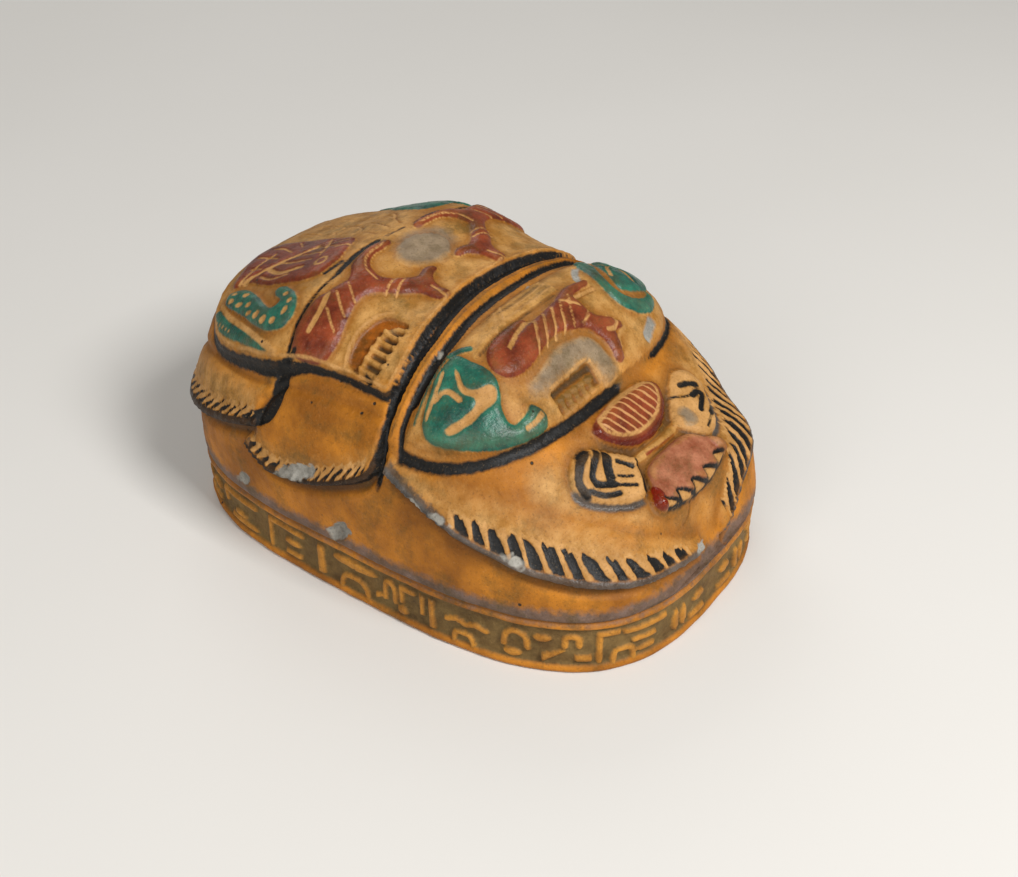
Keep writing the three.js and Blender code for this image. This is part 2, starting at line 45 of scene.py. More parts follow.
LENGTH = 130.0
WIDTH = 88.2
HEIGHT = 67.0
LEDGE_HEIGHT = 15.0
WING_CASE_RISE = 1.4
SHIELD_RISE = 1.0
FIGURE_RISE = 0.8
HEAD_POWER = 3.0
TAIL_POWER = 3.4
SECTION_POWER = 2.985
SECTION_ROOT = 0.394
CREST_START_SLOPE = 4.2
CREST_END_SLOPE = -2.6
CREST = np.array([      # share of half the length, share of the rise over the ledge
    (-0.985, 0.0), (-0.892, 0.346), (-0.723, 0.458), (-0.615, 0.592), (-0.308, 0.911),
    (0.0, 0.915), (0.308, 1.0), (0.615, 0.868), (0.831, 0.761), (0.985, 0.501),
])
GRID = 0.56             # distance between neighbouring points of the surface, in mm
RIM_STEPS = 14400       # fine steps in which the plan outline is measured
TRIAL_STEPS = 4000      # fine steps in which the way down the dome is measured
TRIAL_WAYS = 48         # ways down the dome that the mean is taken of
TANGENT_SHARE = 0.002   # share of the way round, ahead and behind, that gives the rim's direction

rise = HEIGHT - WING_CASE_RISE - FIGURE_RISE - LEDGE_HEIGHT

angles = -math.pi / 2 - np.linspace(0, 2 * math.pi, RIM_STEPS + 1)
powers = np.where(np.sin(angles) < 0, HEAD_POWER, TAIL_POWER)
rim_x = WIDTH / 2 * np.sign(np.cos(angles)) * np.abs(np.cos(angles)) ** (2 / powers)
rim_y = LENGTH / 2 * np.sign(np.sin(angles)) * np.abs(np.sin(angles)) ** (2 / powers)
rim_run = np.concatenate([[0], np.cumsum(np.hypot(np.diff(rim_x), np.diff(rim_y)))])
rim_length = rim_run[-1]


def rim(share):
    """Point of the plan outline at a share of the way round, from the head over the right side."""
    run = np.mod(share, 1.0) * rim_length
    return np.interp(run, rim_run, rim_x), np.interp(run, rim_run, rim_y)


def crest_height(y):
    """Height of the back's middle line, through the measured points without swinging past them."""
    steps = np.diff(CREST[:, 1]) / np.diff(CREST[:, 0])
    slopes = np.zeros(len(CREST))
    same = steps[:-1] * steps[1:] > 0
    slopes[1:-1][same] = (2 * steps[:-1] * steps[1:] / (steps[:-1] + steps[1:]))[same]
    slopes[0], slopes[-1] = CREST_START_SLOPE, CREST_END_SLOPE
    share = np.clip(y / (LENGTH / 2), CREST[0, 0], CREST[-1, 0])
    i = np.clip(np.searchsorted(CREST[:, 0], share), 1, len(CREST) - 1)
    span = CREST[i, 0] - CREST[i - 1, 0]
    t = (share - CREST[i - 1, 0]) / span
    level = CREST[i - 1, 1] * (1 + 2 * t) * (1 - t) ** 2 + CREST[i, 1] * t * t * (3 - 2 * t)
    lean = span * t * (1 - t) * (slopes[i - 1] * (1 - t) - slopes[i] * t)
    return LEDGE_HEIGHT + rise * np.clip(level + lean, 0, 1)


def skin_height(x, y):
    """Height of the dome over a plan point, before anything is carved on it."""
    power = np.where(y < 0, HEAD_POWER, TAIL_POWER)
    half = WIDTH / 2 * (1 - np.minimum(np.abs(y) / (LENGTH / 2), 1) ** power) ** (1 / power)
    across = np.minimum(np.abs(x) / np.maximum(half, 1e-9), 1)
    return LEDGE_HEIGHT + (crest_height(y) - LEDGE_HEIGHT) * (1 - across ** SECTION_POWER) ** SECTION_ROOT


# Rings of the dome lie at equal steps of the mean way down from the crown to the ledge
trial = 1 - (1 - np.linspace(0, 1, TRIAL_STEPS + 1)) ** 3
ways = []
for share in np.linspace(0, 1, TRIAL_WAYS, endpoint=False):
    x, y = rim(share)
    path = np.stack([trial * x, trial * y, skin_height(trial * x, trial * y)])
    ways.append(np.concatenate([[0], np.cumsum(np.linalg.norm(np.diff(path, axis=1), axis=0))]))
mean_way = np.mean(ways, axis=0)
ring_count = int(mean_way[-1] / GRID)
ring_scales = np.interp(np.linspace(0, mean_way[-1], ring_count + 1)[1:], mean_way, trial)
ring_scales[-1] = 1.0

rings = []              # number of points and the points of each ring, from the crown down to the underside
for scale in ring_scales:
    count = max(6, int(rim_length * scale / GRID))
    x, y = rim(np.arange(count) / count)
    rings.append((count, scale * x, scale * y, skin_height(scale * x, scale * y)))
wall_count = int(rim_length / GRID)
wall_x, wall_y = rim(np.arange(wall_count) / wall_count)
wall_rows = int(LEDGE_HEIGHT / GRID * 1.15)
for row in range(1, wall_rows + 1):
    z = LEDGE_HEIGHT * (1 - row / wall_rows)
    rings.append((wall_count, wall_x, wall_y, np.full(wall_count, z)))
under_scales = (0.985, 0.95, 0.88, 0.75, 0.5, 0.2)
for scale in under_scales:
    count = int(wall_count * scale * 0.5) + 6
    x, y = rim(np.arange(count) / count)
    rings.append((count, scale * x, scale * y, np.zeros(count)))

starts = np.cumsum([1] + [ring[0] for ring in rings])
X = np.concatenate([[0.0]] + [ring[1] for ring in rings] + [[0.0]])
Y = np.concatenate([[0.0]] + [ring[2] for ring in rings] + [[0.0]])
Z = np.concatenate([skin_height(np.zeros(1), np.zeros(1))] + [ring[3] for ring in rings] + [[0.0]])
round_share = np.concatenate([[0.0]] + [np.arange(ring[0]) / ring[0] for ring in rings] + [[0.0]])
ring_of = np.concatenate([[0]] + [np.full(ring[0], k) for k, ring in enumerate(rings)] + [[len(rings) - 1]])

triangles = []
first = np.arange(rings[0][0])
triangles.append(np.stack([np.zeros_like(first), 1 + (first + 1) % len(first), 1 + first], axis=1))
for k in range(len(rings) - 1):
    upper, lower = rings[k][0], rings[k + 1][0]
    turn = np.concatenate([(np.arange(upper) + 0.5) / upper, (np.arange(lower) + 0.5) / lower])
    on_upper = np.concatenate([np.ones(upper, bool), np.zeros(lower, bool)])[np.argsort(turn, kind="stable")]
    i = np.cumsum(on_upper) - on_upper
    j = np.cumsum(~on_upper) - ~on_upper
    a = starts[k] + i % upper
    b = starts[k + 1] + j % lower
    ahead = np.where(on_upper, starts[k] + (i + 1) % upper, starts[k + 1] + (j + 1) % lower)
    triangles.append(np.stack([a, ahead, b], axis=1))
last = np.arange(rings[-1][0])
triangles.append(np.stack([
    starts[-2] + last, starts[-2] + (last + 1) % len(last), np.full_like(last, len(X) - 1)], axis=1))
triangles = np.concatenate(triangles)

# Outward direction of each point: on the dome it is square to the skin, on the wall it is level
base = np.stack([X, Y, Z], axis=1)
corner_points = [base[triangles[:, corner]] for corner in range(3)]
face_normals = np.cross(corner_points[1] - corner_points[0], corner_points[2] - corner_points[0])
outward = np.zeros_like(base)
for corner in range(3):
    np.add.at(outward, triangles[:, corner], face_normals)
outward /= np.linalg.norm(outward, axis=1)[:, None]
ahead_x, ahead_y = rim(round_share + TANGENT_SHARE)
behind_x, behind_y = rim(round_share - TANGENT_SHARE)
level_out = np.stack([-(ahead_y - behind_y), ahead_x - behind_x, np.zeros(len(X))], axis=1)
level_out /= np.linalg.norm(level_out, axis=1)[:, None]
on_dome = ring_of < ring_count - 1
on_wall = ~on_dome & (ring_of < ring_count + wall_rows)
outward[on_wall] = level_out[on_wall]

# Places on the flank: distance along the rim from the head, the same on both sides, and height as drawn
DRAWN_RISE = 51.5
along = np.minimum(round_share, 1 - round_share) * rim_length
drawn_z = np.where(Z > LEDGE_HEIGHT, LEDGE_HEIGHT + (Z - LEDGE_HEIGHT) * DRAWN_RISE / rise, Z)
on_flank = on_dome & (drawn_z < 53) | (ring_of == ring_count - 1)
on_back = on_dome & (drawn_z > 17)

FAR = 9.0               # mm beyond which a distance no longer counts
relief = np.zeros(len(X))
paint = collections.defaultdict(lambda: np.full(len(X), FAR))


def curve(points, closed=False, per_span=6):
    """A smooth line through the given points."""
    p = np.array(points, float)
    n = len(p)
    out = []
    for i in range(n if closed else n - 1):
        if closed:
            p0, p1, p2, p3 = (p[(i + k) % n] for k in (-1, 0, 1, 2))
        else:
            p0, p1, p2, p3 = (p[min(max(i + k, 0), n - 1)] for k in (-1, 0, 1, 2))
        reach = np.linalg.norm(p2 - p1)
        tangents = []
        for before, after in ((p0, p2), (p1, p3)):
            direction = after - before
            length = np.linalg.norm(direction)
            tangents.append(direction / length * reach if length > 0 else direction)
        for t in np.arange(per_span) / per_span:
            out.append((2 * t**3 - 3 * t**2 + 1) * p1 + (t**3 - 2 * t**2 + t) * tangents[0]
                       + (3 * t**2 - 2 * t**3) * p2 + (t**3 - t**2) * tangents[1])
    if not closed:
        out.append(p[-1])
    return np.array(out)


def loop(points, per_span=6):
    """A smooth closed outline through the given points."""
    return curve(points, True, per_span)


def line_distance(u, v, line):
    """Distance from every point (u, v) to a line of points."""
    best = np.full(len(u), FAR)
    for (au, av), (bu, bv) in zip(line[:-1], line[1:]):
        du, dv = bu - au, bv - av
        t = np.clip(((u - au) * du + (v - av) * dv) / max(du * du + dv * dv, 1e-12), 0, 1)
        best = np.minimum(best, np.hypot(u - au - t * du, v - av - t * dv))
    return best


def signed_distance(u, v, outline):
    """Distance to a closed outline, negative inside it."""
    ring = np.vstack([outline, outline[:1]])
    inside = np.zeros(len(u), bool)
    for (au, av), (bu, bv) in zip(ring[:-1], ring[1:]):
        if av != bv:
            inside ^= ((av > v) != (bv > v)) & (u < (bu - au) * (v - av) / (bv - av) + au)
    return np.where(inside, -1, 1) * line_distance(u, v, ring)


def around(u, v, line, where, margin=4.0):
    """Numbers of the points that lie where asked, within a margin of the line's box."""
    low, high = line.min(axis=0) - margin, line.max(axis=0) + margin
    return np.flatnonzero(where & (u > low[0]) & (u < high[0]) & (v > low[1]) & (v < high[1]))


def edge(distance, soft):
    """1 inside an edge, 0 outside it, with a smooth ramp of the given width."""
    t = np.clip(0.5 - distance / soft, 0, 1)
    return t * t * (3 - 2 * t)


def pillow(distance, height, rounding):
    """Raised form with a rounded shoulder."""
    t = np.clip(-distance / rounding, 0, 1)
    return height * np.sqrt(1 - (1 - t) ** 2)


def colour(name, near, distance):
    """Add a shape to a paint's mask, where the nearest shape counts."""
    paint[name][near] = np.minimum(paint[name][near], distance)


def carve(outline, name, height=FIGURE_RISE, rounding=1.1, flip=1):
    """Raise a figure on the back and paint it; flip=-1 gives its mirror image."""
    near = around(flip * X, Y, outline, on_back)
    distance = signed_distance(flip * X[near], Y[near], outline)
    relief[near] += pillow(distance, height, rounding)
    if name:
        colour(name, near, distance)
    return near, distance


def score(points, width, depth, name="cream", flip=1):
    """Cut or, with a negative depth, raise a line on the back and paint it."""
    line = curve(points)
    near = around(flip * X, Y, line, on_back)
    distance = line_distance(flip * X[near], Y[near], line) - width / 2
    relief[near] -= depth * edge(distance, 0.5)
    if name:
        colour(name, near, distance)


def box(x0, y0, x1, y1):
    """A rectangle from two opposite corners."""
    return np.array([(x0, y0), (x1, y0), (x1, y1), (x0, y1)], float)


def ellipse(x, y, radius_x, radius_y, count=20):
    """An ellipse as an outline of so many points."""
    turn = np.linspace(0, 2 * math.pi, count, endpoint=False)
    return np.stack([x + radius_x * np.cos(turn), y + radius_y * np.sin(turn)], axis=1)


# The shield and the wing cases
# The shield covers the beetle's back behind the head, and the two closed wing cases the rest. They stand
# a little above the body, with soft shoulders, and a brushed black line runs in the step round each.

BACK_LINE_WIDTH = 2.2
SHIELD_HALF_WIDTH = 38.0
SHIELD_BACK = -12.6
SHIELD_FRONT = -36.8
SHIELD_POWER = 2.9
turns = np.linspace(0, math.pi, 49)
shield = np.stack([
    SHIELD_HALF_WIDTH * np.sign(np.cos(turns)) * np.abs(np.cos(turns)) ** (2 / SHIELD_POWER),
    SHIELD_BACK + (SHIELD_FRONT - SHIELD_BACK) * np.abs(np.sin(turns)) ** (2 / SHIELD_POWER)], axis=1)
near, distance = carve(shield, "pale", SHIELD_RISE, 2.6)
border = np.vstack([
    [(-28, -11.2), (-34, -11), (-37.2, -11.2), (-38.9, -12)],
    shield[::-1] * (1.04, 1) + (0, -0.9) * (np.sin(turns) ** 0.5)[:, None],
    [(38.9, -12), (37.2, -11.2), (34, -11), (28, -11.2)]])
near = around(X, Y, border, on_back)
reach_to_line = line_distance(X[near], Y[near], border)
border_half = np.interp(
    X[near], [-40, -34, -24, -12, 1, 4, 13, 17, 34, 40],
    [0.6, 0.7, 0.95, 0.95, 0.85, -0.3, -0.3, 0.5, 0.5, 0.5])
colour("black", near, reach_to_line - border_half)
relief[near] -= 0.5 * edge(reach_to_line - border_half, 0.8)

wing_half = [
    (0, -2.2), (-20, -4.6), (-33.4, -5.8), (-34.2, -1), (-34.3, 4.4), (-35, 9.4), (-36, 15), (-37.2, 20.5),
    (-37.4, 27), (-36.9, 31), (-35.8, 38), (-33.2, 46), (-28.4, 51.6), (-21, 55.4), (0, 57)]
wing_cases = np.array(wing_half + [(-x, y) for x, y in wing_half[-2:0:-1]], float)
wing_cases = loop(wing_cases, 4)
near, distance = carve(wing_cases, None, WING_CASE_RISE, 2.2)
colour("pale", near, distance + 1.2)
line_half = np.interp(
    Y[near], [-6, 4, 9, 15, 20, 27, 38, 46, 56], [0.6, 0.55, 0.45, 0.65, 0.95, 0.9, 0.8, 0.85, 1.0])
behind = Y[near] > -5.5
colour("black", near[behind], (np.abs(distance + 0.1) - line_half)[behind])
relief[near[behind]] -= 0.3 * edge(np.abs(distance - 0.4) - 0.6, 0.8)[behind]
# A raised hem inside the black line, painted cream: cream paint, and a painted highlight along the hem
hem = np.abs(distance + line_half + 0.75) - 0.35
relief[near[behind]] += 0.25 * edge(hem, 0.6)[behind]
colour("cream", near[behind], hem[behind] + 0.15)

rear_line = [
    (-41.4, -7.9), (-36, -7.3), (-20, -6.3), (-9, -4.4), (0, -3.6), (9, -4.4), (20, -6.3), (36, -7.3),
    (41.4, -7.9)]
front_line = [(-33, -11.3), (-20, -10.6), (-9, -9.4), (0, -8.9), (9, -9.2), (20, -10), (33, -11.3)]
ridge_line = [(-38, -9.3), (-20, -8.5), (-9, -6.9), (0, -6.2), (9, -6.9), (20, -8.2), (38, -9.3)]
score(rear_line, BACK_LINE_WIDTH, 0.6, "black")
score(front_line, BACK_LINE_WIDTH, 0.6, "black")
score(ridge_line, 1.9, -0.55, None)
score(ridge_line, 0.35, 0.25, "dark_line_and_shade")
cross_line = [(-35.8, 20.2), (-29.6, 21.4), (-18, 20.7), (-10.4, 21.4), (-4.6, 21.3)]
score(cross_line, 0.75, 0.35, "black")
score([(-19, 20.7), (-10.4, 21.4), (-5, 21.3)], 1.2, 0.1, "black")
score([(-2.4, 21), (3.3, 20.8)], 0.6, 0.2, "black")
score([(6.5, 20.2), (9.7, 19.6), (19, 19), (36, 20)], 0.7, 0.3, "black")

# Figures on the shield
# Generic birds, a resting beast, a disc and a spread wing, cast in low relief. Each is filled with thick
# enamel by brush, and its inner lines are scratched or left free so that the pale ground shows.

perched_bird = loop([
    (-23.3, -14.6), (-27.6, -13.6), (-31, -14.4), (-34.6, -15.4), (-36.4, -17), (-36.9, -20), (-36.2, -23.4),
    (-34.4, -27.2), (-31.4, -31), (-28, -33.4), (-24.1, -35), (-20.9, -35), (-19.6, -33.4), (-21, -31),
    (-23.4, -31.2), (-26.6, -30.6), (-26.4, -28.1), (-24.7, -26.4), (-23, -24), (-22.9, -18.4)])
carve(perched_bird, "green", FIGURE_RISE + 0.1, 1.5)
score([(-27.2, -14.8), (-30.5, -15.8), (-34.4, -16.4)], 0.8, 0.5)
score([(-31.8, -16.6), (-29.9, -17.7), (-30.1, -21.2)], 0.9, 0.5)
bird_hollow = loop([
    (-25.8, -17), (-27.9, -20.8), (-27.3, -22.6), (-25, -24.2), (-24.8, -25.4), (-26.4, -26.4),
    (-29.4, -25.6), (-32.4, -24.6), (-35, -21.4), (-32, -23.2), (-28.8, -23.8), (-29, -21),
    (-27.6, -18.6)])
near, distance = carve(bird_hollow, None, -0.6, 0.6)
colour("cream", near, distance)
score([(-24.8, -32.6), (-22.8, -33), (-20.3, -32.9)], 0.8, 0.5)
score([(-23.6, -13.4), (-22, -14.6), (-20.6, -16.2)], 1.5, -0.4, "green")
score([(-35.6, -14), (-28, -12.9), (-23.4, -12.9)], 0.7, -0.3, "green")

curled_strip = loop([
    (20.6, -12.9), (16.7, -19.4), (15, -24.4), (15.9, -28), (20.4, -30.6), (25.4, -30.4), (28.6, -27.4),
    (24.8, -28), (21, -27.4), (18.4, -25.3), (18.7, -21.8), (22.6, -15.9)])
carve(curled_strip, "green", FIGURE_RISE, 1.2)
curled_body = loop([
    (24.6, -15), (29.5, -15.6), (33.4, -17.4), (32.6, -22), (29.6, -26), (25.4, -26.8), (20, -25.6),
    (19.8, -23.6), (22, -19.6)])
carve(curled_body, "green", FIGURE_RISE, 1.2)
score([(24.6, -17), (26.6, -20), (26, -24.4)], 0.7, 0.4)
score([(21.4, -22), (24, -19.4), (25.6, -18.4)], 0.8, 0.4)

resting_beast = loop([
    (-21.3, -20.8), (-22.6, -23.6), (-20.7, -26.3), (-16, -27.2), (-9.4, -26.3), (-5.4, -26), (-1.3, -26.9),
    (2.2, -28.1), (4, -30), (4.9, -32), (4.6, -34.7), (6.8, -34.9), (8.3, -33), (9.4, -31.2), (12.4, -30.6),
    (10.9, -28.9), (8, -27.5), (6.5, -26.2), (6.3, -24), (6.6, -22.4), (9.2, -22), (13.6, -21.2), (10.9, -20),
    (6.4, -19.7), (2.6, -20.6), (-2.9, -21.3), (-7.6, -21.2), (-8.5, -19.6), (-12.5, -18.9),
    (-18, -19.2)])
carve(resting_beast, "red", FIGURE_RISE + 0.3, 1.8)
score([(-16.6, -22.7), (-12, -21.6), (-7.6, -21.2)], 0.8, 0.5)
for i in range(5):
    x = -12.2 + 3 * i
    score([(x, -26.7), (x + 2.6, -24), (x + 5.4, -21.7)], 0.5, 0.2)
score([(2, -27.2), (5, -26.4), (7.4, -25.2)], 0.5, 0.2)
score([(5.2, -24.4), (2.4, -21.6)], 0.6, 0.25)
score([(6.6, -22.6), (13.4, -22.9)], 0.8, 0.5)
score([(7, -30), (9.4, -30.4), (11.6, -29.4)], 0.8, 0.25)
score([(8.4, -33), (9.6, -31.8), (12.8, -31.2)], 0.7, -0.3)

shield_disc = loop([
    (-19, -29.6), (-15, -28.4), (-8.6, -27.5), (-2.1, -27.9), (1.4, -29), (3, -30.8), (3.4, -33), (3, -35.4),
    (-1.2, -35.9), (-2, -32.6), (-8, -31.6), (-15, -31.4)])
near, distance = carve(shield_disc, "grey", FIGURE_RISE * 0.5, 1.6)
colour("cream", near, np.maximum(np.abs(distance - 0.5) - 0.3, Y[near] + 36))

SLOT_DEPTH = 1.1
TOOTH_WIDTH = 0.9
# The sunk slot is painted dark ochre-brown: brown paint, darkened further as painted shade in the recess
near, distance = carve(box(-15.8, -35.7, -2.4, -31.9), None, -SLOT_DEPTH, 0.5)
colour("slot", near, distance + 0.2)
for x in (-14.2, -12.0, -9.8, -7.6, -5.2):
    score([(x, -35.8), (x + 0.2, -34.0)], TOOTH_WIDTH, -0.9, "pale")
score([(-15.4, -33.5), (-9, -33.8), (-3.4, -34)], 0.8, -0.8, "pale")
# A dark line under the slot's upper edge: a painted shadow of that edge
score([(-15.6, -32.4), (-9, -32.7), (-2.8, -32.9)], 0.5, 0.2, "dark_line_and_shade")
score([(-15.6, -31.5), (-9, -31.6), (-2.6, -31.8), (-1.8, -34.6)], 0.5, -0.3)

spread_wing = loop([
    (-22, -18.6), (-8, -18.6), (5.5, -19), (6.8, -15), (5.4, -12.4), (-4, -12.4), (-12, -13.6), (-17, -16)])
near, distance = carve(spread_wing, None, 0.35, 0.9)
colour("ochre", near, distance)
for start, bend, end in (
        ((-14.5, -18.4), (-11, -15.5), (-8.6, -12.6)), ((-11.6, -18.2), (-8.4, -15), (-6, -12.4)),
        ((-20, -17.4), (-10, -17.4), (6, -17.4)), ((-8.4, -15.4), (-2, -15.6), (6, -15.4)),
        ((-4, -12.6), (2, -12.8), (6, -14))):
    score([start, bend, end], 0.5, -0.25)
score([(-21, -18.9), (-10, -19), (4, -19.2)], 0.6, 0.3, "dark_line_and_shade")
score([(-9, -14.4), (-2, -14.6), (5, -14.4)], 0.5, 0.3, "dark_line_and_shade")

# Figures on the wing cases
# Two standing beasts face each other across a pale disc, and behind the cross line lie a woven green
# figure and a feathered red one. They are cast and painted as those on the shield are.

standing_beast = loop([
    (-35, 19), (-35.2, 14.4), (-33.8, 11.2), (-31.2, 10.4), (-28.1, 10.9), (-25, 11.7), (-21.5, 12),
    (-18.4, 10.5), (-16, 7.2), (-12.8, 3.7), (-11.4, -1.2), (-8.4, -1.7), (-8, 1.5), (-7.3, 3.9),
    (-5.7, 5.7), (-3.4, 6.8), (-5.8, 8.2), (-9, 7.6), (-12.2, 9.6), (-14.6, 12.2), (-14.4, 14.7),
    (-13, 16.8), (-10.4, 17.8), (-6.8, 17.8), (-4.1, 18.7), (-7.6, 20.4), (-12.4, 20.1), (-15.6, 19.5),
    (-19.2, 17.3), (-21.7, 18), (-23.9, 18.9), (-25.8, 20), (-29.3, 20.6), (-32.6, 20.4)])
beast_lines = (
    ([(-31.2, 17.2), (-28, 17.2), (-24.2, 18.2)], 1.1), ([(-29.6, 12), (-28.4, 14), (-26.8, 16.2)], 0.45),
    ([(-26.4, 12.2), (-25, 14.4), (-23, 17)], 0.45), ([(-23, 12.4), (-21.6, 14.4), (-20.2, 16.4)], 0.45),
    ([(-16.6, 6.8), (-14, 8), (-11.6, 8.6)], 0.5), ([(-17.6, 8.8), (-14.8, 9.8), (-12.8, 10)], 0.5),
    ([(-16.2, 12.4), (-15.4, 15.6), (-12.4, 18.2), (-6, 18.8)], 0.5),
    ([(-10.2, -1.2), (-9.8, 1), (-9.6, 3)], 0.6))
for flip in (1, -1):
    carve(standing_beast, "red", FIGURE_RISE + 0.3, 1.9, flip)
    for points, width in beast_lines:
        score(points, width, 0.3, flip=flip)
score([(-34.6, 18.6), (-35.6, 19.6)], 1.2, 0.2, "black")

carve(ellipse(-1, 12.2, 7.4, 4.8), None, FIGURE_RISE * 0.6, 2.4)
near, distance = carve(ellipse(0.8, 13, 8.4, 5.2), None, 0.0, 1.0)
colour("grey", near, distance)

COMB_PITCH = 1.95
near, distance = carve(loop([
    (-33.2, -0.8), (-33, 4), (-32.4, 6.6), (-30.4, 7.6), (-27.7, 7.9), (-25.2, 7.4), (-22.6, 6.6), (-20.8, 5),
    (-20.3, 2.4), (-20.8, -0.6), (-24, -1), (-29, -1.2)], 3), None, -SLOT_DEPTH, 0.7)
colour("orange", near, np.maximum(distance + 0.4, 3.6 - Y[near] - 1.2 * np.clip(X[near] + 24, 0, 4)))
score([(-33, 6.8), (-30.4, 8), (-27.7, 8.3), (-24.8, 7.8), (-21.8, 6.6), (-20, 4.6)], 0.5, -0.3)
score([(-32.4, 3), (-29.9, 3.5), (-27.1, 3.5), (-24.3, 3), (-22.4, 1.4), (-22.2, -0.6)], 0.9, -1.0, "pale")
for i in range(5):
    x = -32.2 + COMB_PITCH * i
    score([(x, -1), (x + 0.1, 1), (x + 0.2, 3.2)], TOOTH_WIDTH, -1.0, "pale")
    # A dark line in each gap between the teeth: painted shade between them
    score([(x + 0.95, -0.8), (x + 1.1, 2.2)], 0.8, 0.3, "dark_line_and_shade")
score([(-33.2, -0.4), (-32.6, 1.4)], 1.0, 0.2, "black")

woven_figure = loop([
    (-26.7, 47.6), (-24.6, 48.4), (-23.6, 46.1), (-23.8, 42.7), (-25.8, 37.4), (-28.2, 32.6), (-28.4, 30),
    (-27.2, 29.4), (-25.4, 32.8), (-23.8, 32.3), (-24.3, 28.9), (-26, 25.5), (-28.6, 23.4), (-30.8, 23.2),
    (-32.3, 24.6), (-32.8, 28), (-31.8, 32.9), (-30, 38), (-28.5, 42.8)], 4)
woven_openings = (
    (-26, 28.4, 0.5, 0.8), (-27.4, 26, 0.6, 0.6), (-29.4, 25.6, 0.9, 0.7), (-31.2, 27.4, 0.6, 0.9),
    (-31, 30.6, 0.8, 1.0), (-29.9, 33.8, 0.8, 1.0), (-29.3, 37, 0.5, 1.0), (-27.6, 38.6, 0.6, 0.9),
    (-27.4, 42, 0.5, 1.2), (-25.4, 41.6, 0.5, 1.1), (-26.4, 45.6, 0.6, 1.0), (-24.8, 46, 0.4, 0.9))
green_strip = curve([(-35.5, 26), (-34.9, 28.8), (-33.6, 34.2), (-32.2, 39.8), (-30.6, 44.8), (-28, 49)])
for flip in (1, -1):
    carve(woven_figure, "green", FIGURE_RISE + 0.2, 1.3, flip)
    for x, y, radius_x, radius_y in woven_openings:
        near, distance = carve(ellipse(x, y, radius_x, radius_y, 10), None, -0.4, 0.5, flip)
        colour("cream", near, distance)
    near = around(flip * X, Y, green_strip, on_back)
    strip_half = np.interp(Y[near], [26, 28.8, 34, 40, 45, 49], [0.25, 0.5, 0.75, 1.0, 1.1, 0.6])
    distance = line_distance(flip * X[near], Y[near], green_strip) - strip_half
    relief[near] += pillow(distance, 0.5, 0.8)
    colour("green", near, distance)
    for i in range(5):
        score([(-32 + 0.5 * i, 41.4 + 1.5 * i), (-31.9 + 0.5 * i, 41.6 + 1.5 * i)], 0.5, 0.1, flip=flip)
    score([(-35.6, 23.6), (-34, 29.6), (-31, 38.8), (-29.2, 44.2), (-26.6, 49)], 0.8, -0.35, flip=flip)

feather_figure = loop([
    (-22.6, 28), (-20.7, 24.4), (-18.6, 23.8), (-14.4, 23.6), (-11.9, 24.5), (-6, 26.7), (-4.6, 31.1),
    (-4.2, 36.3), (-5, 45), (-7.4, 51), (-12.4, 53.4), (-17.6, 51.6), (-22.4, 49.6), (-21.6, 45),
    (-22.5, 39.3)])
carve(feather_figure, "red", FIGURE_RISE, 1.4)
near, distance = carve(ellipse(-16.5, 26.9, 1.8, 1.5, 14), None, 0.0, 1.0)
colour("cream", near, np.abs(distance + 0.35) - 0.35)
feather_lines = (
    ([(-21.6, 46.4), (-16.4, 41.4), (-9.6, 34.6)], 1.3), ([(-14, 29.6), (-9.4, 31.6), (-5.6, 34)], 0.6),
    ([(-9.4, 35.6), (-6.4, 32.6), (-5.2, 29.4)], 0.5), ([(-10.6, 35.8), (-7.8, 30.6), (-6.8, 27.4)], 0.5),
    ([(-12.2, 37.4), (-10.4, 33.8), (-9.4, 28.4)], 0.5), ([(-14, 38.6), (-13, 34.6), (-12.6, 30)], 0.5),
    ([(-15.8, 39.8), (-16, 35.6), (-15.4, 31)], 0.5), ([(-18.2, 41.6), (-19.6, 36), (-18.4, 31)], 1.1),
    ([(-20.4, 42.4), (-21.2, 38), (-20.4, 33)], 0.5), ([(-11.4, 41.4), (-9.6, 45.6), (-9.4, 49)], 0.6),
    ([(-14, 43.4), (-13.4, 47.4), (-12.8, 51)], 0.5), ([(-17.6, 45), (-17.6, 48.4)], 0.5),
    ([(-22, 47.8), (-17, 47.2), (-12, 46)], 0.9), ([(-8.6, 40.6), (-6.4, 43.4)], 0.5),
    ([(-9, 25.6), (-10.4, 28.4)], 0.8))
for points, width in feather_lines:
    score(points, width, 0.35)
score([(-19.8, 23.4), (-15, 22.6)], 0.9, 0.2, "black")
for points in (
        [(-3.2, 24), (-1.6, 34), (-0.4, 50)], [(1, 23.6), (3.4, 32), (4.4, 48)],
        [(4, 23), (8, 30), (9.6, 46)],
        [(-2.6, 29), (1, 31.6), (3.2, 36), (1.6, 40), (-0.8, 39)], [(6, 26), (9.6, 29), (12, 36)]):
    score(points, 0.5, -0.25)
    score([(x + 0.8, y) for x, y in points], 0.7, 0.3, "ochre")
far_patch = loop([(12, 24.5), (14.5, 22.4), (20, 22), (23.5, 25), (22, 31), (18, 36), (14, 33)])
carve(far_patch, "green", FIGURE_RISE * 0.7, 1.4)

# The head
# The head is a plate in front of the shield: a striped half-disc, a cheek block each side with nested
# angular stripes, fewer and rubbed on the left one, and a toothed fan for a snout with a bead at each corner.

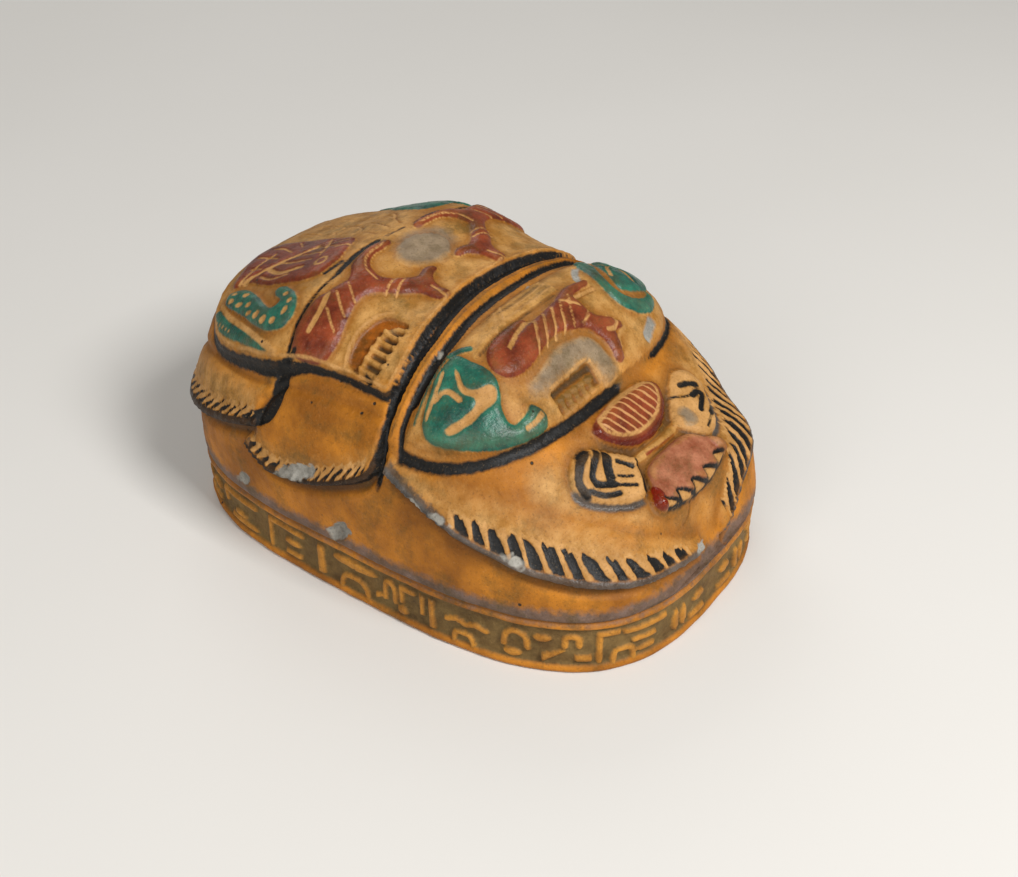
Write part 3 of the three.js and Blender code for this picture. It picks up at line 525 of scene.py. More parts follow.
HEAD_RISE = 1.5
BROW_RIM_HALF = 0.34
SNOUT_FRONT = -59.6
brow = loop([
    (-12.1, -40.2), (-7, -38.9), (-1, -38.6), (5, -38.9), (10.6, -40.4), (11, -42.2), (9.2, -44.6),
    (4, -46.8), (-3, -46.8), (-8.4, -45), (-11.6, -42.2)])
near, distance = carve(brow, "red", HEAD_RISE + 0.2, 1.8)
brow_rim = [
    (-10.2, -40.5), (-7.8, -43.0), (-3, -44.6), (3.4, -44.6), (7.6, -43.2), (9.2, -41.3), (8.6, -40),
    (5, -39.4), (-1, -39.1), (-7, -39.5)]
inner_disc = signed_distance(X[near], Y[near], loop(brow_rim))
colour("brow stripes", near, inner_disc + 0.1)
colour("cream", near, np.abs(inner_disc) - BROW_RIM_HALF)
relief[near] -= 0.2 * edge(np.abs(inner_disc) - BROW_RIM_HALF, 0.5)
colour("dark red", near, np.maximum(distance, 0.8 - inner_disc))
score([(-9.4, -48), (-4, -48.5), (3, -48.7), (9.4, -48.2)], 1.6, -0.7, None)
score([(-4.4, -48.7), (0, -49.3), (5.4, -49.6)], 0.7, 0.1, "red")

TOOTH_COUNT = 5
TOOTH_REACH = 12.4
TOOTH_HEIGHT = 1.9
snout = np.array([
    (13.2, -56.4), (10.6, -53.8), (7.6, -50.8), (0, -50.2), (-7.6, -50.8), (-10.6, -53.8), (-13.2, -56.4),
    (-12.4, -58.2), (-7, -59.3), (0, SNOUT_FRONT), (7, -59.3), (12.4, -58.2)], float)
near, distance = carve(loop(snout, 3), None, HEAD_RISE + 0.2, 1.4)
depth_in = Y[near] - SNOUT_FRONT - 1.5 * (X[near] / TOOTH_REACH) ** 2
tooth = np.mod((X[near] + TOOTH_REACH) / (2 * TOOTH_REACH / TOOTH_COUNT), 1)
slope = TOOTH_HEIGHT * (1 - tooth)
outside_teeth = np.maximum(distance, np.abs(X[near]) - TOOTH_REACH + 0.9)
tooth_face = np.maximum(np.maximum(depth_in - slope, 0.4 - depth_in), 0.4 - tooth * 5)
gap = np.minimum(np.minimum(depth_in - 0.4, tooth * 4.2 - 0.6), np.abs(depth_in - slope - 0.35) - 0.4)
gap = np.maximum(np.maximum(gap, depth_in - TOOTH_HEIGHT - 0.2), outside_teeth)
colour("snout", near, np.maximum(distance, slope - depth_in))
colour("black", near, gap)
colour("cream", near, np.maximum(tooth_face, outside_teeth))
relief[near] -= 0.4 * edge(gap, 0.5)
drop = loop([
    (-11, -53.6), (-13, -55.2), (-13.6, -57), (-12.4, -58.2), (-10.9, -57.6), (-10.4, -55.6)])
for flip in (1, -1):
    near, distance = carve(drop, None, 1.0, 1.5, flip)
    colour("bead" if flip == 1 else "snout", near, distance)

cheek = loop([
    (-24.2, -44.6), (-23.4, -42.6), (-21.4, -41.2), (-16.9, -41.2), (-12, -44), (-7.8, -47.4), (-9, -50.6),
    (-12.2, -54), (-16.4, -53.6), (-21.2, -49.6)])
cheek_stripes = (
    ([(-17, -41.4), (-20.4, -42.2), (-22.7, -44), (-22.6, -46)], 1.3),
    ([(-21.6, -46.2), (-20, -48.6), (-17.4, -50.4)], 1.0),
    ([(-14.9, -42.6), (-17.6, -43.6), (-19.6, -44.8), (-19.6, -46.2)], 1.1),
    ([(-19.8, -46), (-18, -47.4), (-16.6, -48.6)], 1.2),
    ([(-16.8, -48.4), (-15, -50.2), (-13.2, -51.8)], 0.75),
    ([(-13.9, -44.2), (-15.2, -45.4), (-16.2, -47)], 1.8),
    ([(-12.4, -45.8), (-11.4, -46.8), (-10.4, -48.6)], 0.9),
    ([(-14.6, -47.8), (-13.2, -49.2), (-12, -50)], 0.6),
    ([(-8.5, -48.2), (-9.4, -50.8), (-12.2, -53.6)], 1.0))
left_cheek_stripes = (
    ([(-15.8, -43.3), (-19, -43.7), (-21.5, -44.5)], 0.9),
    ([(-11.7, -43.9), (-15, -45.1), (-18.8, -45.8)], 0.4),
    ([(-17.6, -45.7), (-20.7, -46.1), (-19, -47.5), (-16.3, -49.2)], 1.1),
    ([(-22.9, -46.5), (-21.1, -49.2), (-17.9, -51)], 1.1), ([(-17.9, -51), (-13.4, -52.9)], 0.5))
rubbed_patch = ellipse(-11.4, -48.6, 2.4, 2.6)
for flip, table in ((1, cheek_stripes), (-1, left_cheek_stripes)):
    near, distance = carve(cheek, None, HEAD_RISE + 0.3, 1.7, flip)
    stripes = np.full(len(near), FAR)
    for points, width in table:
        stripes = np.minimum(stripes, line_distance(flip * X[near], Y[near], curve(points)) - width * 0.62)
    bare = np.full(len(near), FAR)
    if flip == -1:
        bare = signed_distance(flip * X[near], Y[near], rubbed_patch)
        colour("grey", near, bare)
    colour("cream", near, np.maximum(np.maximum(distance + 0.2, 0.1 - stripes), -bare))
    colour("black", near, np.maximum(stripes, distance))
    relief[near] -= 0.25 * edge(stripes, 0.5)
    underside = line_distance(flip * X[near], Y[near], np.array([
        (-24.4, -45), (-22.4, -49), (-19, -52.6), (-15, -54.6)])) - 1.0
    colour("lead", near, np.maximum(underside, distance - 1.0))

head_ground = loop([
    (-31, -38), (-20, -40), (0, -40), (20, -40), (31, -38), (26, -48), (16, -58), (0, -61.5), (-16, -58),
    (-26, -48)])
near = around(X, Y, head_ground, on_back)
colour("pale", near, signed_distance(X[near], Y[near], head_ground) + 0.6)

# The legs
# Three folded legs a side lie against the flank. Each is a soft bulge whose lower edge overhangs and is
# cut into bristles: slanting bars, cream between black, over a thin lip worn to grey.

front_leg = np.array([
    (4, 19.4, 22), (10, 20.2, 25.4), (16, 21.4, 28.6), (22, 22.6, 31), (30, 23.9, 33.6), (38, 24.9, 35.8),
    (46, 26.6, 37.6), (54, 29.2, 39.6), (62, 32, 41), (70, 35.3, 42.2), (77, 38.2, 43), (81.5, 40, 43)])
left_front_leg = np.array([
    (4, 18.5, 22), (8, 20, 26), (12, 22.5, 30.5), (16, 25, 33), (22, 27.6, 35.6), (30, 29.6, 38),
    (38, 32, 41), (46, 35, 45), (54, 37.4, 46), (62, 38.6, 46), (70, 39.6, 46), (77, 40.6, 46),
    (81.5, 41.6, 46)])
middle_leg = np.array([
    (84.5, 39.6, 48), (87, 36.6, 48), (90, 34.6, 48), (95, 32.2, 48), (100, 30.2, 48), (105, 28.8, 48),
    (110, 27.8, 47.6), (115, 27.8, 47), (118, 28.8, 44), (120.5, 29.8, 38), (122.5, 31.4, 34)])
hind_leg = np.array([
    (120, 37, 46), (123, 35.6, 45.4), (126, 34.6, 44.8), (131, 33, 44), (137, 31.2, 43.2), (144, 29.8, 42.6),
    (152, 28.6, 41), (160, 28.2, 38), (168, 28.4, 35.4), (176, 29.4, 32)])
bristles = (
    # leg, side, first bar, last bar, pitch, lean of the bars, share of black, top of the lip, rise
    (front_leg, "right", 10, 65, 4.1, 0.45, 0.7, 1.0, 2.7),
    (left_front_leg, "left", 7, 72, 3.4, 0.5, 0.64, 0.3, 1.6),
    (middle_leg, "both", 87, 121, 2.6, -0.9, 0.62, 0.7, 2.2),
    (hind_leg, "both", 121, 172, 3.1, -1.2, 0.62, 1.5, 2.2))
bar_lengths = {
    "right": ([8, 13, 23, 31, 39, 47, 55, 63], [2.2, 3.2, 4.4, 4.8, 5.4, 5.8, 5.0, 3.6]),
    "left": ([4, 10, 16, 24, 34, 48, 72], [3.0, 5.0, 6.4, 5.4, 4.8, 5.4, 4.0]),
    "both": ([87, 120, 124, 140, 172], [3.3, 3.3, 4.2, 4.6, 4.6])}
for leg, side, first_bar, last_bar, pitch, lean, black_share, lip, leg_rise in bristles:
    on_side = {"right": round_share < 0.5, "left": round_share >= 0.5, "both": round_share >= 0}[side]
    near = np.flatnonzero(on_flank & on_side & (along > leg[0, 0] - 4) & (along < leg[-1, 0] + 4))
    a, z = along[near], drawn_z[near]
    low, high = np.interp(a, leg[:, 0], leg[:, 1]), np.interp(a, leg[:, 0], leg[:, 2])
    bar_length = np.interp(a, *bar_lengths[side])
    ends = np.maximum(leg[0, 0] - a, a - leg[-1, 0])
    beyond_bars = np.maximum(first_bar - a, a - last_bar)
    up = np.clip((z - low) / np.maximum(high - low, 1), 0, 1)
    flare = 1 - 0.45 * np.clip((z - low) / (bar_length + 0.6), 0, 1)
    bulge = flare * np.sin(np.clip(1 - up, 0, 1) * math.pi / 2) ** 0.9
    relief[near] += leg_rise * edge(np.maximum(low - 0.7 - z, ends), 0.8) * bulge
    relief[near] -= 0.9 * edge(np.abs(z - low + 2.4) - 1.2, 1.8) * edge(ends, 2)
    if side == "both":
        relief[near] -= 0.8 * edge(np.abs(z - high - 0.5) - 0.5, 3.0) * edge(ends, 2)
    # Each leg is painted pale from its bristles up, the middle leg only in a band just above them: rubbed
    # paint, and a painted highlight on the leg's top
    pale_top = low + 7 if leg is middle_leg else high + 2
    colour("pale", near, np.maximum(np.maximum(low - z, (z - pale_top) * 0.6), ends) + 2.0)
    bar_length = bar_length + 0.35 * np.sin(a * 2.9) + 0.25 * np.sin(a * 5.3 + 2)
    in_bars = np.maximum(np.maximum(low - z, z - low - bar_length), beyond_bars)
    uneven = 0.25 * np.sin(a * 1.7) + 0.3 * np.sin(a * 0.63 + 1) + 0.06 * np.sin(z * 4 + a)
    slot = np.mod((a + uneven - lean * (z - low) - first_bar) / pitch, 1) - 0.5
    height = np.clip((z - low - lip) / np.maximum(bar_length - lip, 0.5), 0, 1)
    taper = 0.34 if side == "both" else 0.12
    bar = np.abs(slot) * pitch - pitch * (black_share - taper * height) / 2
    black_bar = np.maximum(np.maximum(bar, in_bars), low + lip - z)
    colour("black", near, black_bar)
    colour("cream", near, np.maximum(np.maximum(-bar + 0.05, in_bars + 0.1), low + lip - z))
    colour("cream", near, np.maximum(np.abs(z - low - bar_length - 0.3) - 0.35, beyond_bars))
    relief[near] -= 0.5 * edge(black_bar, 0.7)
    lip_distance = np.maximum(np.maximum(z - low - lip, low - 1.5 - z), ends)
    colour("black" if side == "both" else "lead", near, lip_distance)
    colour("lip", near, np.maximum(np.abs(z - low - 0.4) - 1.6, np.maximum(last_bar - a, ends + 1)))


def flank_line(points, widths, name, depth=0.3):
    """A line on both flanks, given by distance along the rim and height, with a width at each point."""
    line = curve(points)
    near = around(along, drawn_z, line, on_flank | on_back)
    a, z = along[near], drawn_z[near]
    heights, half_widths = zip(*sorted((p[1], w / 2) for p, w in zip(points, widths)))
    distance = line_distance(a, z, line) - np.interp(z, heights, half_widths)
    relief[near] -= depth * edge(distance, 0.8)
    colour(name, near, distance)


flank_line([(84.4, 53), (84.2, 47), (84, 43), (85.4, 37.5)], [2.0, 2.2, 2.3, 1.8], "black", 0.6)
flank_line(
    [(117.1, 51), (116.6, 47.6), (116.4, 43.3), (118, 39.4), (122, 36.6)], [3.6, 4.1, 4.3, 4.2, 3.4],
    "black", 0.6)

# The band
# The plinth's wall is a sunk field between two rails. Shallow strokes stand in it: bars, ovals, wedges,
# arches and hooks that are only marks. The field is washed dark and the strokes are rubbed bare.

BAND_HEIGHT = 13.3
TOP_RAIL = 1.1
FOOT_RAIL = 1.8
FIELD_DEPTH = 1.0
GROOVE_HEIGHT = 13.9
WORN_FOOT = 13.5
WORN_TOP = 17.4
STROKE_DEPTH = 0.85
STROKE_WEIGHT = 1.3
strokes = (
    # shape, distance along the rim, lower height, length, height
    ("oval", 3.4, 6.3, 4.4, 2.4), ("bar", 3, 2.4, 6, 1.6), ("oval", 10.3, 3, 2, 6), ("oval", 13, 3.2, 2, 6),
    ("bar", 17, 9.1, 11, 1.5), ("bar", 20, 6.2, 6, 1.2), ("oval", 20, 3, 5, 1.5), ("arch", 25, 2.6, 6, 3.4),
    ("hook", 29.4, 3, 4.6, 8), ("bar", 35, 3.2, 3.6, 1.8), ("arch", 37, 7.4, 4.4, 3.2),
    ("wedge", 40.6, 2.6, 5, 4), ("oval", 43.6, 8.2, 4, 1.8), ("arch", 48, 5.6, 6.6, 4.8),
    ("oval", 50, 2.8, 4, 2), ("zigzag", 58, 6.6, 9.4, 2.2), ("arch", 60.4, 2.6, 6, 2.6),
    ("bar", 70.4, 2.6, 1.5, 8), ("bar", 73.2, 5, 1.2, 5.6), ("hook", 76, 6.2, 4, 4.4),
    ("oval", 77.6, 2.6, 3, 2.2), ("arch", 80.6, 5, 4, 5.6), ("wedge", 83.2, 3.4, 3.4, 3),
    ("oval", 86, 8.4, 12.8, 2.4), ("arch", 88.4, 2.6, 9, 4), ("bar", 101.4, 2.8, 2, 7.8),
    ("hook", 108, 3, 11.4, 7.9), ("oval", 108.6, 5.8, 5.4, 1.8), ("bar", 109, 2.7, 5, 1.2),
    ("hook", 124, 6.4, 13, 4), ("bar", 124, 2.7, 10.4, 1.3), ("oval", 127.6, 4.6, 5.6, 1.2),
    ("zigzag", 140, 6.6, 10, 2.6), ("bar", 141, 2.8, 8, 1.4), ("arch", 153, 5, 6, 5),
    ("oval", 154, 2.7, 4, 1.6), ("bar", 162, 2.7, 1.6, 7.8), ("oval", 166, 7.6, 7, 2.6),
    ("bar", 166, 3, 7, 1.5), ("hook", 176, 3, 6, 7.4))
for shape, start, foot, length, height in strokes:
    end, top, middle = start + length, foot + height, start + length / 2
    inset = STROKE_WEIGHT / 2
    if shape == "bar":
        outline = box(start, foot, end, top)
    elif shape == "oval":
        outline = ellipse(middle, foot + height / 2, length / 2, height / 2)
    elif shape == "wedge":
        outline = np.array([(start, top - 0.5), (end, foot), (end, top - height * 0.4), (start, top)])
    elif shape == "hook":
        outline = [(start, top - inset), (end - inset, top - inset), (end - inset, foot)]
    elif shape == "zigzag":
        outline = [(start + length * i / 4, foot + inset + (height - 2 * inset) * (i % 2)) for i in range(5)]
    else:
        outline = curve([
            (start + inset, foot), (start + length * 0.2, top - height * 0.35), (middle, top - inset),
            (end - length * 0.2, top - height * 0.35), (end - inset, foot)])
    outline = np.array(outline, float)
    near = around(along, Z, outline, on_wall, 2.0)
    if shape in ("hook", "zigzag", "arch"):
        distance = line_distance(along[near], Z[near], outline) - inset
    else:
        distance = signed_distance(along[near], Z[near], outline)
    colour("stroke", near, distance)
field = np.maximum(FOOT_RAIL + 0.2 - Z, Z - (BAND_HEIGHT - TOP_RAIL - 0.2))
paint["field"] = np.where(on_wall, field, FAR)
sunk = FIELD_DEPTH * edge(field, 0.5)
stood = STROKE_DEPTH * edge(paint["stroke"], 0.6)
groove = 0.9 * edge(np.abs(Z - GROOVE_HEIGHT) - 0.4, 0.6)
foot_edge = 0.6 * edge(Z - 0.3, 0.8)
relief[on_wall] = (-0.1 - sunk + np.minimum(stood, sunk) - groove - foot_edge)[on_wall]
ledge = np.maximum(drawn_z - WORN_TOP, WORN_FOOT - drawn_z)
colour("worn", np.flatnonzero(on_wall | on_flank), ledge[on_wall | on_flank])

# Wear
# Knocks have broken the cast open to its pale grey inside on the ledge, the leg bristles and the shield,
# and a hairline crack runs down from the snout. Every surface also has the slight wobble of the mould.

flank_chips = (
    # distance along the rim, height, half length, half height, lean, depth
    (95.6, 18.4, 3.6, 2.6, -0.5, 1.3), (106, 30.4, 5.6, 2.0, -0.42, 1.0), (5.6, 19.6, 2.6, 1.5, 0.2, 0.9),
    (50.4, 29.2, 2.2, 0.9, 0.3, 0.6), (66.5, 34.6, 2.0, 0.8, 0.2, 0.4), (72.5, 35.8, 1.8, 0.8, 0.3, 0.4),
    (126, 18.4, 2.4, 1.6, -0.4, 0.7))
right_side = round_share < 0.5
for place, z, half_length, half_height, lean, depth in flank_chips:
    u, v = (along - place), (drawn_z - z) - lean * (along - place)
    distance = (np.hypot(u / half_length, v / half_height) - 1) * min(half_length, half_height)
    near = np.flatnonzero((on_flank | on_wall) & right_side & (distance < 3))
    ragged = np.array([noise.noise(Vector(base[k]) * 0.9) for k in near])
    distance = distance[near] + 0.9 * ragged
    relief[near] -= depth * edge(distance + 0.3, 1.4) * (1 + 0.8 * ragged)
    colour("chip", near, distance)
for line, width in (
        ([(13, -19.4), (15, -17.2), (17.6, -15.6)], 1.5), ([(17.6, -34.2), (20, -33.2), (22.4, -32.2)], 1.8),
        ([(-23.8, -10.4), (-22.8, -10.2)], 0.9), ([(3, -12.6), (5.4, -12.2)], 1.1)):
    score(line, width, 0.4, "chip")
crack = np.array([(4.4, 30.4), (4.8, 28.6), (6.2, 27.4), (8.4, 26.6)])
near = around(along, drawn_z, crack, on_flank & right_side)
distance = line_distance(along[near], drawn_z[near], crack) - 0.15
relief[near] -= 0.4 * edge(distance, 0.5)
colour("dark_line_and_shade", near, distance)

wobble = np.array([
    noise.fractal(Vector(p) * 0.12, 1.0, 2.0, 3) * 0.22 + noise.noise(Vector(p) * 0.7) * 0.07 for p in base])
shaped = on_dome | on_wall
height = relief + np.where(shaped, wobble * np.clip(base[:, 2] / 2, 0, 1), 0)
height[on_wall & (Z < 1.5)] += (0.5 * wobble)[on_wall & (Z < 1.5)]
points = base + outward * (height * shaped)[:, None]
points[:, 2] = np.maximum(points[:, 2], 0)
points[ring_of == ring_count + wall_rows - 1, 2] = 0

# How far each point stands out of its surroundings: hollows are painted dark, as dirt and as painted shade,
# and high edges lose their paint
SMOOTHING_ROUNDS = 14
sides = np.concatenate([triangles[:, [0, 1]], triangles[:, [1, 2]], triangles[:, [2, 0]]])
edges = np.unique(np.sort(sides, axis=1), axis=0)
degree = np.bincount(edges.ravel(), minlength=len(X)).astype(float)
smoothed = relief.copy()
for _ in range(SMOOTHING_ROUNDS):
    total = np.bincount(edges[:, 0], smoothed[edges[:, 1]], len(X))
    total += np.bincount(edges[:, 1], smoothed[edges[:, 0]], len(X))
    smoothed = total / degree
paint["proud"] = relief - smoothed


def put(name, data):
    """An object in the scene that shows this mesh, lamp or camera."""
    made = bpy.data.objects.new(name, data)
    bpy.context.scene.collection.objects.link(made)
    return made


casting_mesh = bpy.data.meshes.new("scarab_casting")
casting_mesh.from_pydata((points / 1000).tolist(), [], triangles.tolist())
casting_mesh.polygons.foreach_set("use_smooth", np.ones(len(triangles), bool))
for name, distance in paint.items():
    attribute = casting_mesh.attributes.new(name, "FLOAT", "POINT")
    attribute.data.foreach_set("value", np.clip(distance, -FAR, FAR).astype(np.float32))
casting_mesh.update()
casting = put("scarab_casting", casting_mesh)

# The paint
# Cast stone sealed with an ochre wash, then painted by brush: cream ground, black lines, red and green
# enamel. Ochre and cream are matt and rubbed thin, the enamel is thick, wavy and has a soft gloss.


def linear(hex_code):
    """sRGB hex to the linear colour that a shader takes."""
    parts = [int(hex_code[i:i + 2], 16) / 255 for i in (1, 3, 5)]
    return tuple(c / 12.92 if c <= 0.04045 else ((c + 0.055) / 1.055) ** 2.4 for c in parts) + (1.0,)


def bare_material(name):
    """A material without nodes, and the tree that takes them."""
    made = bpy.data.materials.new(name)
    made.use_nodes = True
    made.node_tree.nodes.clear()
    return made, made.node_tree


painted_stone, tree = bare_material("painted_cast_stone")


def add(kind, inputs, **settings):
    """Add a node with its settings, values and links, and give back its outputs."""
    made = tree.nodes.new(kind)
    for key, value in settings.items():
        setattr(made, key, value)
    for key, value in inputs.items():
        if isinstance(value, bpy.types.NodeSocket):
            tree.links.new(value, made.inputs[key])
        else:
            made.inputs[key].default_value = value
    return made.outputs


MM = 1000.0             # noise scale of a pattern one millimetre across
place = add("ShaderNodeTexCoord", {})["Object"]


def blotches(size, detail, roughness):
    """Noise over the surface with blotches of about this size in mm."""
    inputs = {"Vector": place, "Scale": MM / size, "Detail": detail, "Roughness": roughness}
    return add("ShaderNodeTexNoise", inputs)["Fac"]


def arithmetic(operation, *values):
    """The result of one step of arithmetic."""
    return add("ShaderNodeMath", dict(enumerate(values)), operation=operation)["Value"]


def stretch(value, low, high, least=0.0, most=1.0):
    """Values from low to high, stretched to run from least to most."""
    inputs = {"Value": value, "From Min": low, "From Max": high, "To Min": least, "To Max": most}
    return add("ShaderNodeMapRange", inputs)["Result"]


def painted_over(share, under, over):
    """One colour covered by another, by a share of 0 to 1."""
    return add("ShaderNodeMix", {0: share, 6: under, 7: over}, data_type="RGBA")[2]


def mask_of(name):
    """Signed distance to the edge of a paint's shapes, in mm."""
    return add("ShaderNodeAttribute", {}, attribute_name=name)["Fac"]


cloud = blotches(16, 5.0, 0.6)
patch = blotches(5, 6.0, 0.65)
brush = blotches(1.6, 4.0, 0.6)
grain = blotches(0.5, 3.0, 0.6)
edge_waver = arithmetic("SUBTRACT", brush, 0.5)
proud = mask_of("proud")

# Ochre wash over the stone: deeper where it pooled, lighter where it was wiped
wash = add("ShaderNodeValToRGB", {"Fac": cloud})
ramp = tree.nodes[-1].color_ramp
ramp.elements[0].position, ramp.elements[0].color = 0.36, linear("#885008")
ramp.elements[1].position, ramp.elements[1].color = 0.6, linear("#BC761C")
finish = wash["Color"]
rough = stretch(patch, 0.0, 1.0, 0.5, 0.72)

grounds = (
    # mask, light colour, deep colour, softness in mm, waver in mm, roughness, cover, share rubbed off
    ("ochre", "#A86C1C", "#7E4E10", 0.6, 1.2, 0.6, 0.8, 0.0),
    ("pale", "#C69656", "#986826", 2.0, 3.0, 0.58, 0.9, 0.0),
    ("worn", "#70605A", "#453A32", 1.0, 3.8, 0.6, 0.88, 0.0),
    ("lip", "#4A4540", "#1E1C1A", 0.4, 3.0, 0.5, 0.85, 0.0),
    ("green", "#1C6F5A", "#0B4038", 0.16, 0.5, 0.3, 0.98, 0.06),
    ("red", "#883A1E", "#561D0F", 0.16, 0.5, 0.34, 0.98, 0.12),
    ("dark red", "#6C2014", "#4A120A", 0.3, 0.4, 0.22, 0.9, 0.0),
    ("snout", "#A8684E", "#7A3622", 0.3, 0.8, 0.45, 0.9, 0.4),
    ("bead", "#82200E", "#5C1206", 0.3, 0.5, 0.1, 1.0, 0.0),
    ("grey", "#8C7C66", "#6A5C4A", 1.2, 2.4, 0.5, 0.9, 0.2),
    # slot: brown paint in the shield's sunk slot, darkened as painted shade
    ("slot", "#8A6020", "#543A12", 0.4, 0.8, 0.6, 0.85, 0.0))
lines = (
    ("field", "#746038", "#4A3C22", 0.3, 0.5, 0.75, 0.88, 0.0),
    ("stroke", "#C4842C", "#96601A", 0.25, 0.7, 0.6, 0.92, 0.0),
    ("orange", "#A4560A", "#5C3408", 0.4, 0.6, 0.35, 0.9, 0.0),
    ("lead", "#5A5550", "#34302C", 0.3, 0.8, 0.35, 0.92, 0.0),
    # dark lines: cut lines and the crack, and painted shade in the slot and between the comb's teeth
    ("dark_line_and_shade", "#4A3A22", "#2E2415", 0.3, 0.6, 0.7, 0.75, 0.0),
    ("black", "#11100E", "#060505", 0.16, 0.7, 0.5, 1.0, 0.08),
    ("cream", "#C8965A", "#A4753A", 0.14, 0.35, 0.6, 0.92, 0.0),
    ("chip", "#A9A59B", "#77736A", 0.25, 0.6, 0.85, 1.0, 0.0))


def lay(coats, finish, rough):
    """Lay the coats of a table one over another, each held to its mask."""
    for name, light, deep, softness, waver, roughness, cover, rubbed in coats:
        wavered = arithmetic("MULTIPLY_ADD", edge_waver, waver, mask_of(name))
        mask = stretch(wavered, softness, -softness, most=cover)
        if rubbed:
            high = arithmetic("MULTIPLY_ADD", proud, 1.2, grain)
            kept = stretch(high, 0.72, 1.0, 1.0, 1.0 - rubbed)
            mask = arithmetic("MULTIPLY", mask, kept)
        tint = painted_over(stretch(patch, 0.35, 0.65), linear(deep), linear(light))
        finish = painted_over(mask, finish, tint)
        rough = add("ShaderNodeMix", {0: mask, 2: rough, 3: roughness}, data_type="FLOAT")[0]
    return finish, rough


finish, rough = lay(grounds, finish, rough)

# Washed ochre pools at the foot of every raised form; the deeper hollows are painted dark brown, partly dirt
# and partly painted shade; and darker dirt lies in cloudy patches
pooled = stretch(proud, -0.03, -0.28, most=0.75)
finish = painted_over(pooled, finish, linear("#8A520C"))
# Painted shade with dirt: dark brown in the deeper hollows
hollow = stretch(proud, -0.35, -0.85, most=0.7)
finish = painted_over(hollow, finish, linear("#2A1C0A"))
soil = stretch(blotches(9, 8.0, 0.75), 0.5, 0.68, most=0.6)
finish = painted_over(soil, finish, linear("#4E4018"))

# The brow's pale stripes run slantwise, 1.7 mm apart and half a millimetre wide
STRIPE_PITCH = 1.7
STRIPE_HALF_WIDTH = 0.24
STRIPE_SLANT = (0.825 * MM, 0.565 * MM, 0.0)
along_brow = add("ShaderNodeVectorMath", {0: place, 1: STRIPE_SLANT}, operation="DOT_PRODUCT")["Value"]
cell = arithmetic("FRACT", arithmetic("DIVIDE", along_brow, STRIPE_PITCH))
off_stripe = arithmetic("ABSOLUTE", arithmetic("SUBTRACT", cell, 0.5))
off_stripe = arithmetic("MULTIPLY_ADD", off_stripe, STRIPE_PITCH, -STRIPE_HALF_WIDTH)
off_stripe = arithmetic("MULTIPLY_ADD", edge_waver, 0.4, off_stripe)
off_stripe = arithmetic("MAXIMUM", off_stripe, mask_of("brow stripes"))
finish = painted_over(stretch(off_stripe, 0.1, -0.1, most=0.9), finish, linear("#C08C58"))

finish, rough = lay(lines, finish, rough)

# Fine dark specks and pale dust lie over everything
speck = stretch(grain, 0.56, 0.7, most=0.35)
finish = painted_over(speck, finish, linear("#2E220F"))
dust = stretch(grain, 0.4, 0.28, most=0.12)
finish = painted_over(dust, finish, linear("#D8AE74"))

# Air pits: round holes about 0.6 mm across, about a centimetre apart, painted dark inside as painted shade in
# the holes
pit_cells = add("ShaderNodeTexVoronoi", {"Vector": place, "Scale": MM / 9, "Randomness": 1.0})["Distance"]
pit = stretch(pit_cells, 0.05, 0.03)
finish = painted_over(pit, finish, linear("#2C2115"))

# Fine surface: stone grain, brush drag and the pits
surface = arithmetic("MULTIPLY_ADD", grain, 0.35, brush)
surface = arithmetic("MULTIPLY_ADD", pit, -1.6, surface)
bump = add("ShaderNodeBump", {"Height": surface, "Strength": 0.55, "Distance": 0.0004})["Normal"]
shader = add("ShaderNodeBsdfPrincipled", {
    "Base Color": finish, "Roughness": rough, "Normal": bump, "IOR": 1.48, "Specular IOR Level": 0.3,
    "Metallic": 0.0})["BSDF"]
add("ShaderNodeOutputMaterial", {"Surface": shader})

casting_mesh.materials.append(painted_stone)
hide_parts("scarab")
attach(casting, "root")

# The floor, the light and the camera
# A pale matt sheet under a soft light from the upper right, weaker ones from the left and from behind, and
# a pale surround. The camera stands where the photograph was taken from, at the beetle's right front.

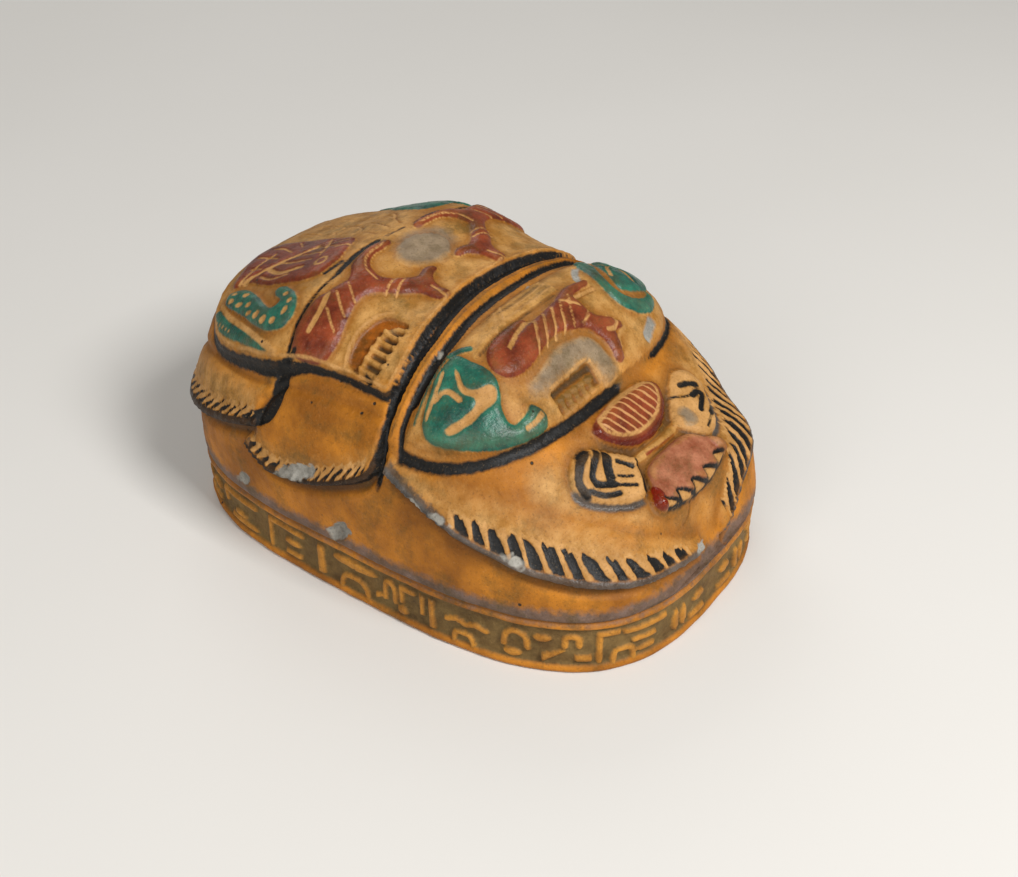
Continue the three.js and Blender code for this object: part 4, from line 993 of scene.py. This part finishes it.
sheet_mesh = bpy.data.meshes.new("floor_sheet")
SHEET_REACH = 2.5       # metres from the middle of the sheet to each side
sheet_corners = [(x * SHEET_REACH, y * SHEET_REACH, 0) for x, y in ((-1, -1), (1, -1), (1, 1), (-1, 1))]
sheet_mesh.from_pydata(sheet_corners, [], [(0, 1, 2, 3)])
floor_sheet = put("floor_sheet", sheet_mesh)
pale_paper, tree = bare_material("pale_paper")
fibre = add("ShaderNodeTexNoise", {"Scale": MM / 30, "Detail": 4.0})["Fac"]
tone = painted_over(fibre, linear("#D9D6D0"), linear("#DFDCD7"))
paper = add("ShaderNodeBsdfPrincipled", {"Base Color": tone, "Roughness": 0.9, "IOR": 1.45})["BSDF"]
add("ShaderNodeOutputMaterial", {"Surface": paper})
sheet_mesh.materials.append(pale_paper)

world = bpy.data.worlds.new("soft_surround")
world.use_nodes = True
surround = next(n for n in world.node_tree.nodes if n.type == "BACKGROUND")
surround.inputs["Color"].default_value = linear("#E8E6E2")
surround.inputs["Strength"].default_value = 0.25
bpy.context.scene.world = world
bpy.context.scene.view_settings.view_transform = "Standard"

middle = Vector((0, 0, 0.03))
for name, place_m, size, watts in (
        ("key", (-0.1, -0.7, 0.7), 0.3, 9.2), ("side", (-0.8, -0.1, 0.5), 0.5, 3.0),
        ("back", (0.4, 0.6, 0.6), 0.5, 1.5)):
    lamp = bpy.data.lights.new(name, "AREA")
    lamp.size = size
    lamp.energy = watts
    lamp_object = put(name, lamp)
    lamp_object.location = place_m
    lamp_object.rotation_euler = (middle - Vector(place_m)).to_track_quat("-Z", "Y").to_euler()

IMAGE_WIDTH = 1018
FOCAL_PIXELS = 1376.06
AZIMUTH = math.radians(-53.01)
ELEVATION = math.radians(35.863)
ROLL = math.radians(-0.872)
DISTANCE = 0.320
AIM = Vector((0.002741, -0.007994, 0.020))
back = Vector((
    math.sin(AZIMUTH) * math.cos(ELEVATION), -math.cos(AZIMUTH) * math.cos(ELEVATION), math.sin(ELEVATION)))
right = Vector((math.cos(AZIMUTH), math.sin(AZIMUTH), 0))
up = back.cross(right)
rolled_right = right * math.cos(ROLL) + up * math.sin(ROLL)
rolled_up = up * math.cos(ROLL) - right * math.sin(ROLL)
camera_data = bpy.data.cameras.new("camera")
camera_data.sensor_width = 36.0
camera_data.lens = FOCAL_PIXELS * camera_data.sensor_width / IMAGE_WIDTH
camera_data.clip_start = 0.01
camera = put("camera", camera_data)
camera.matrix_world = Matrix((
    (rolled_right.x, rolled_up.x, back.x, AIM.x + DISTANCE * back.x),
    (rolled_right.y, rolled_up.y, back.y, AIM.y + DISTANCE * back.y),
    (rolled_right.z, rolled_up.z, back.z, AIM.z + DISTANCE * back.z),
    (0, 0, 0, 1)))
bpy.context.scene.camera = camera
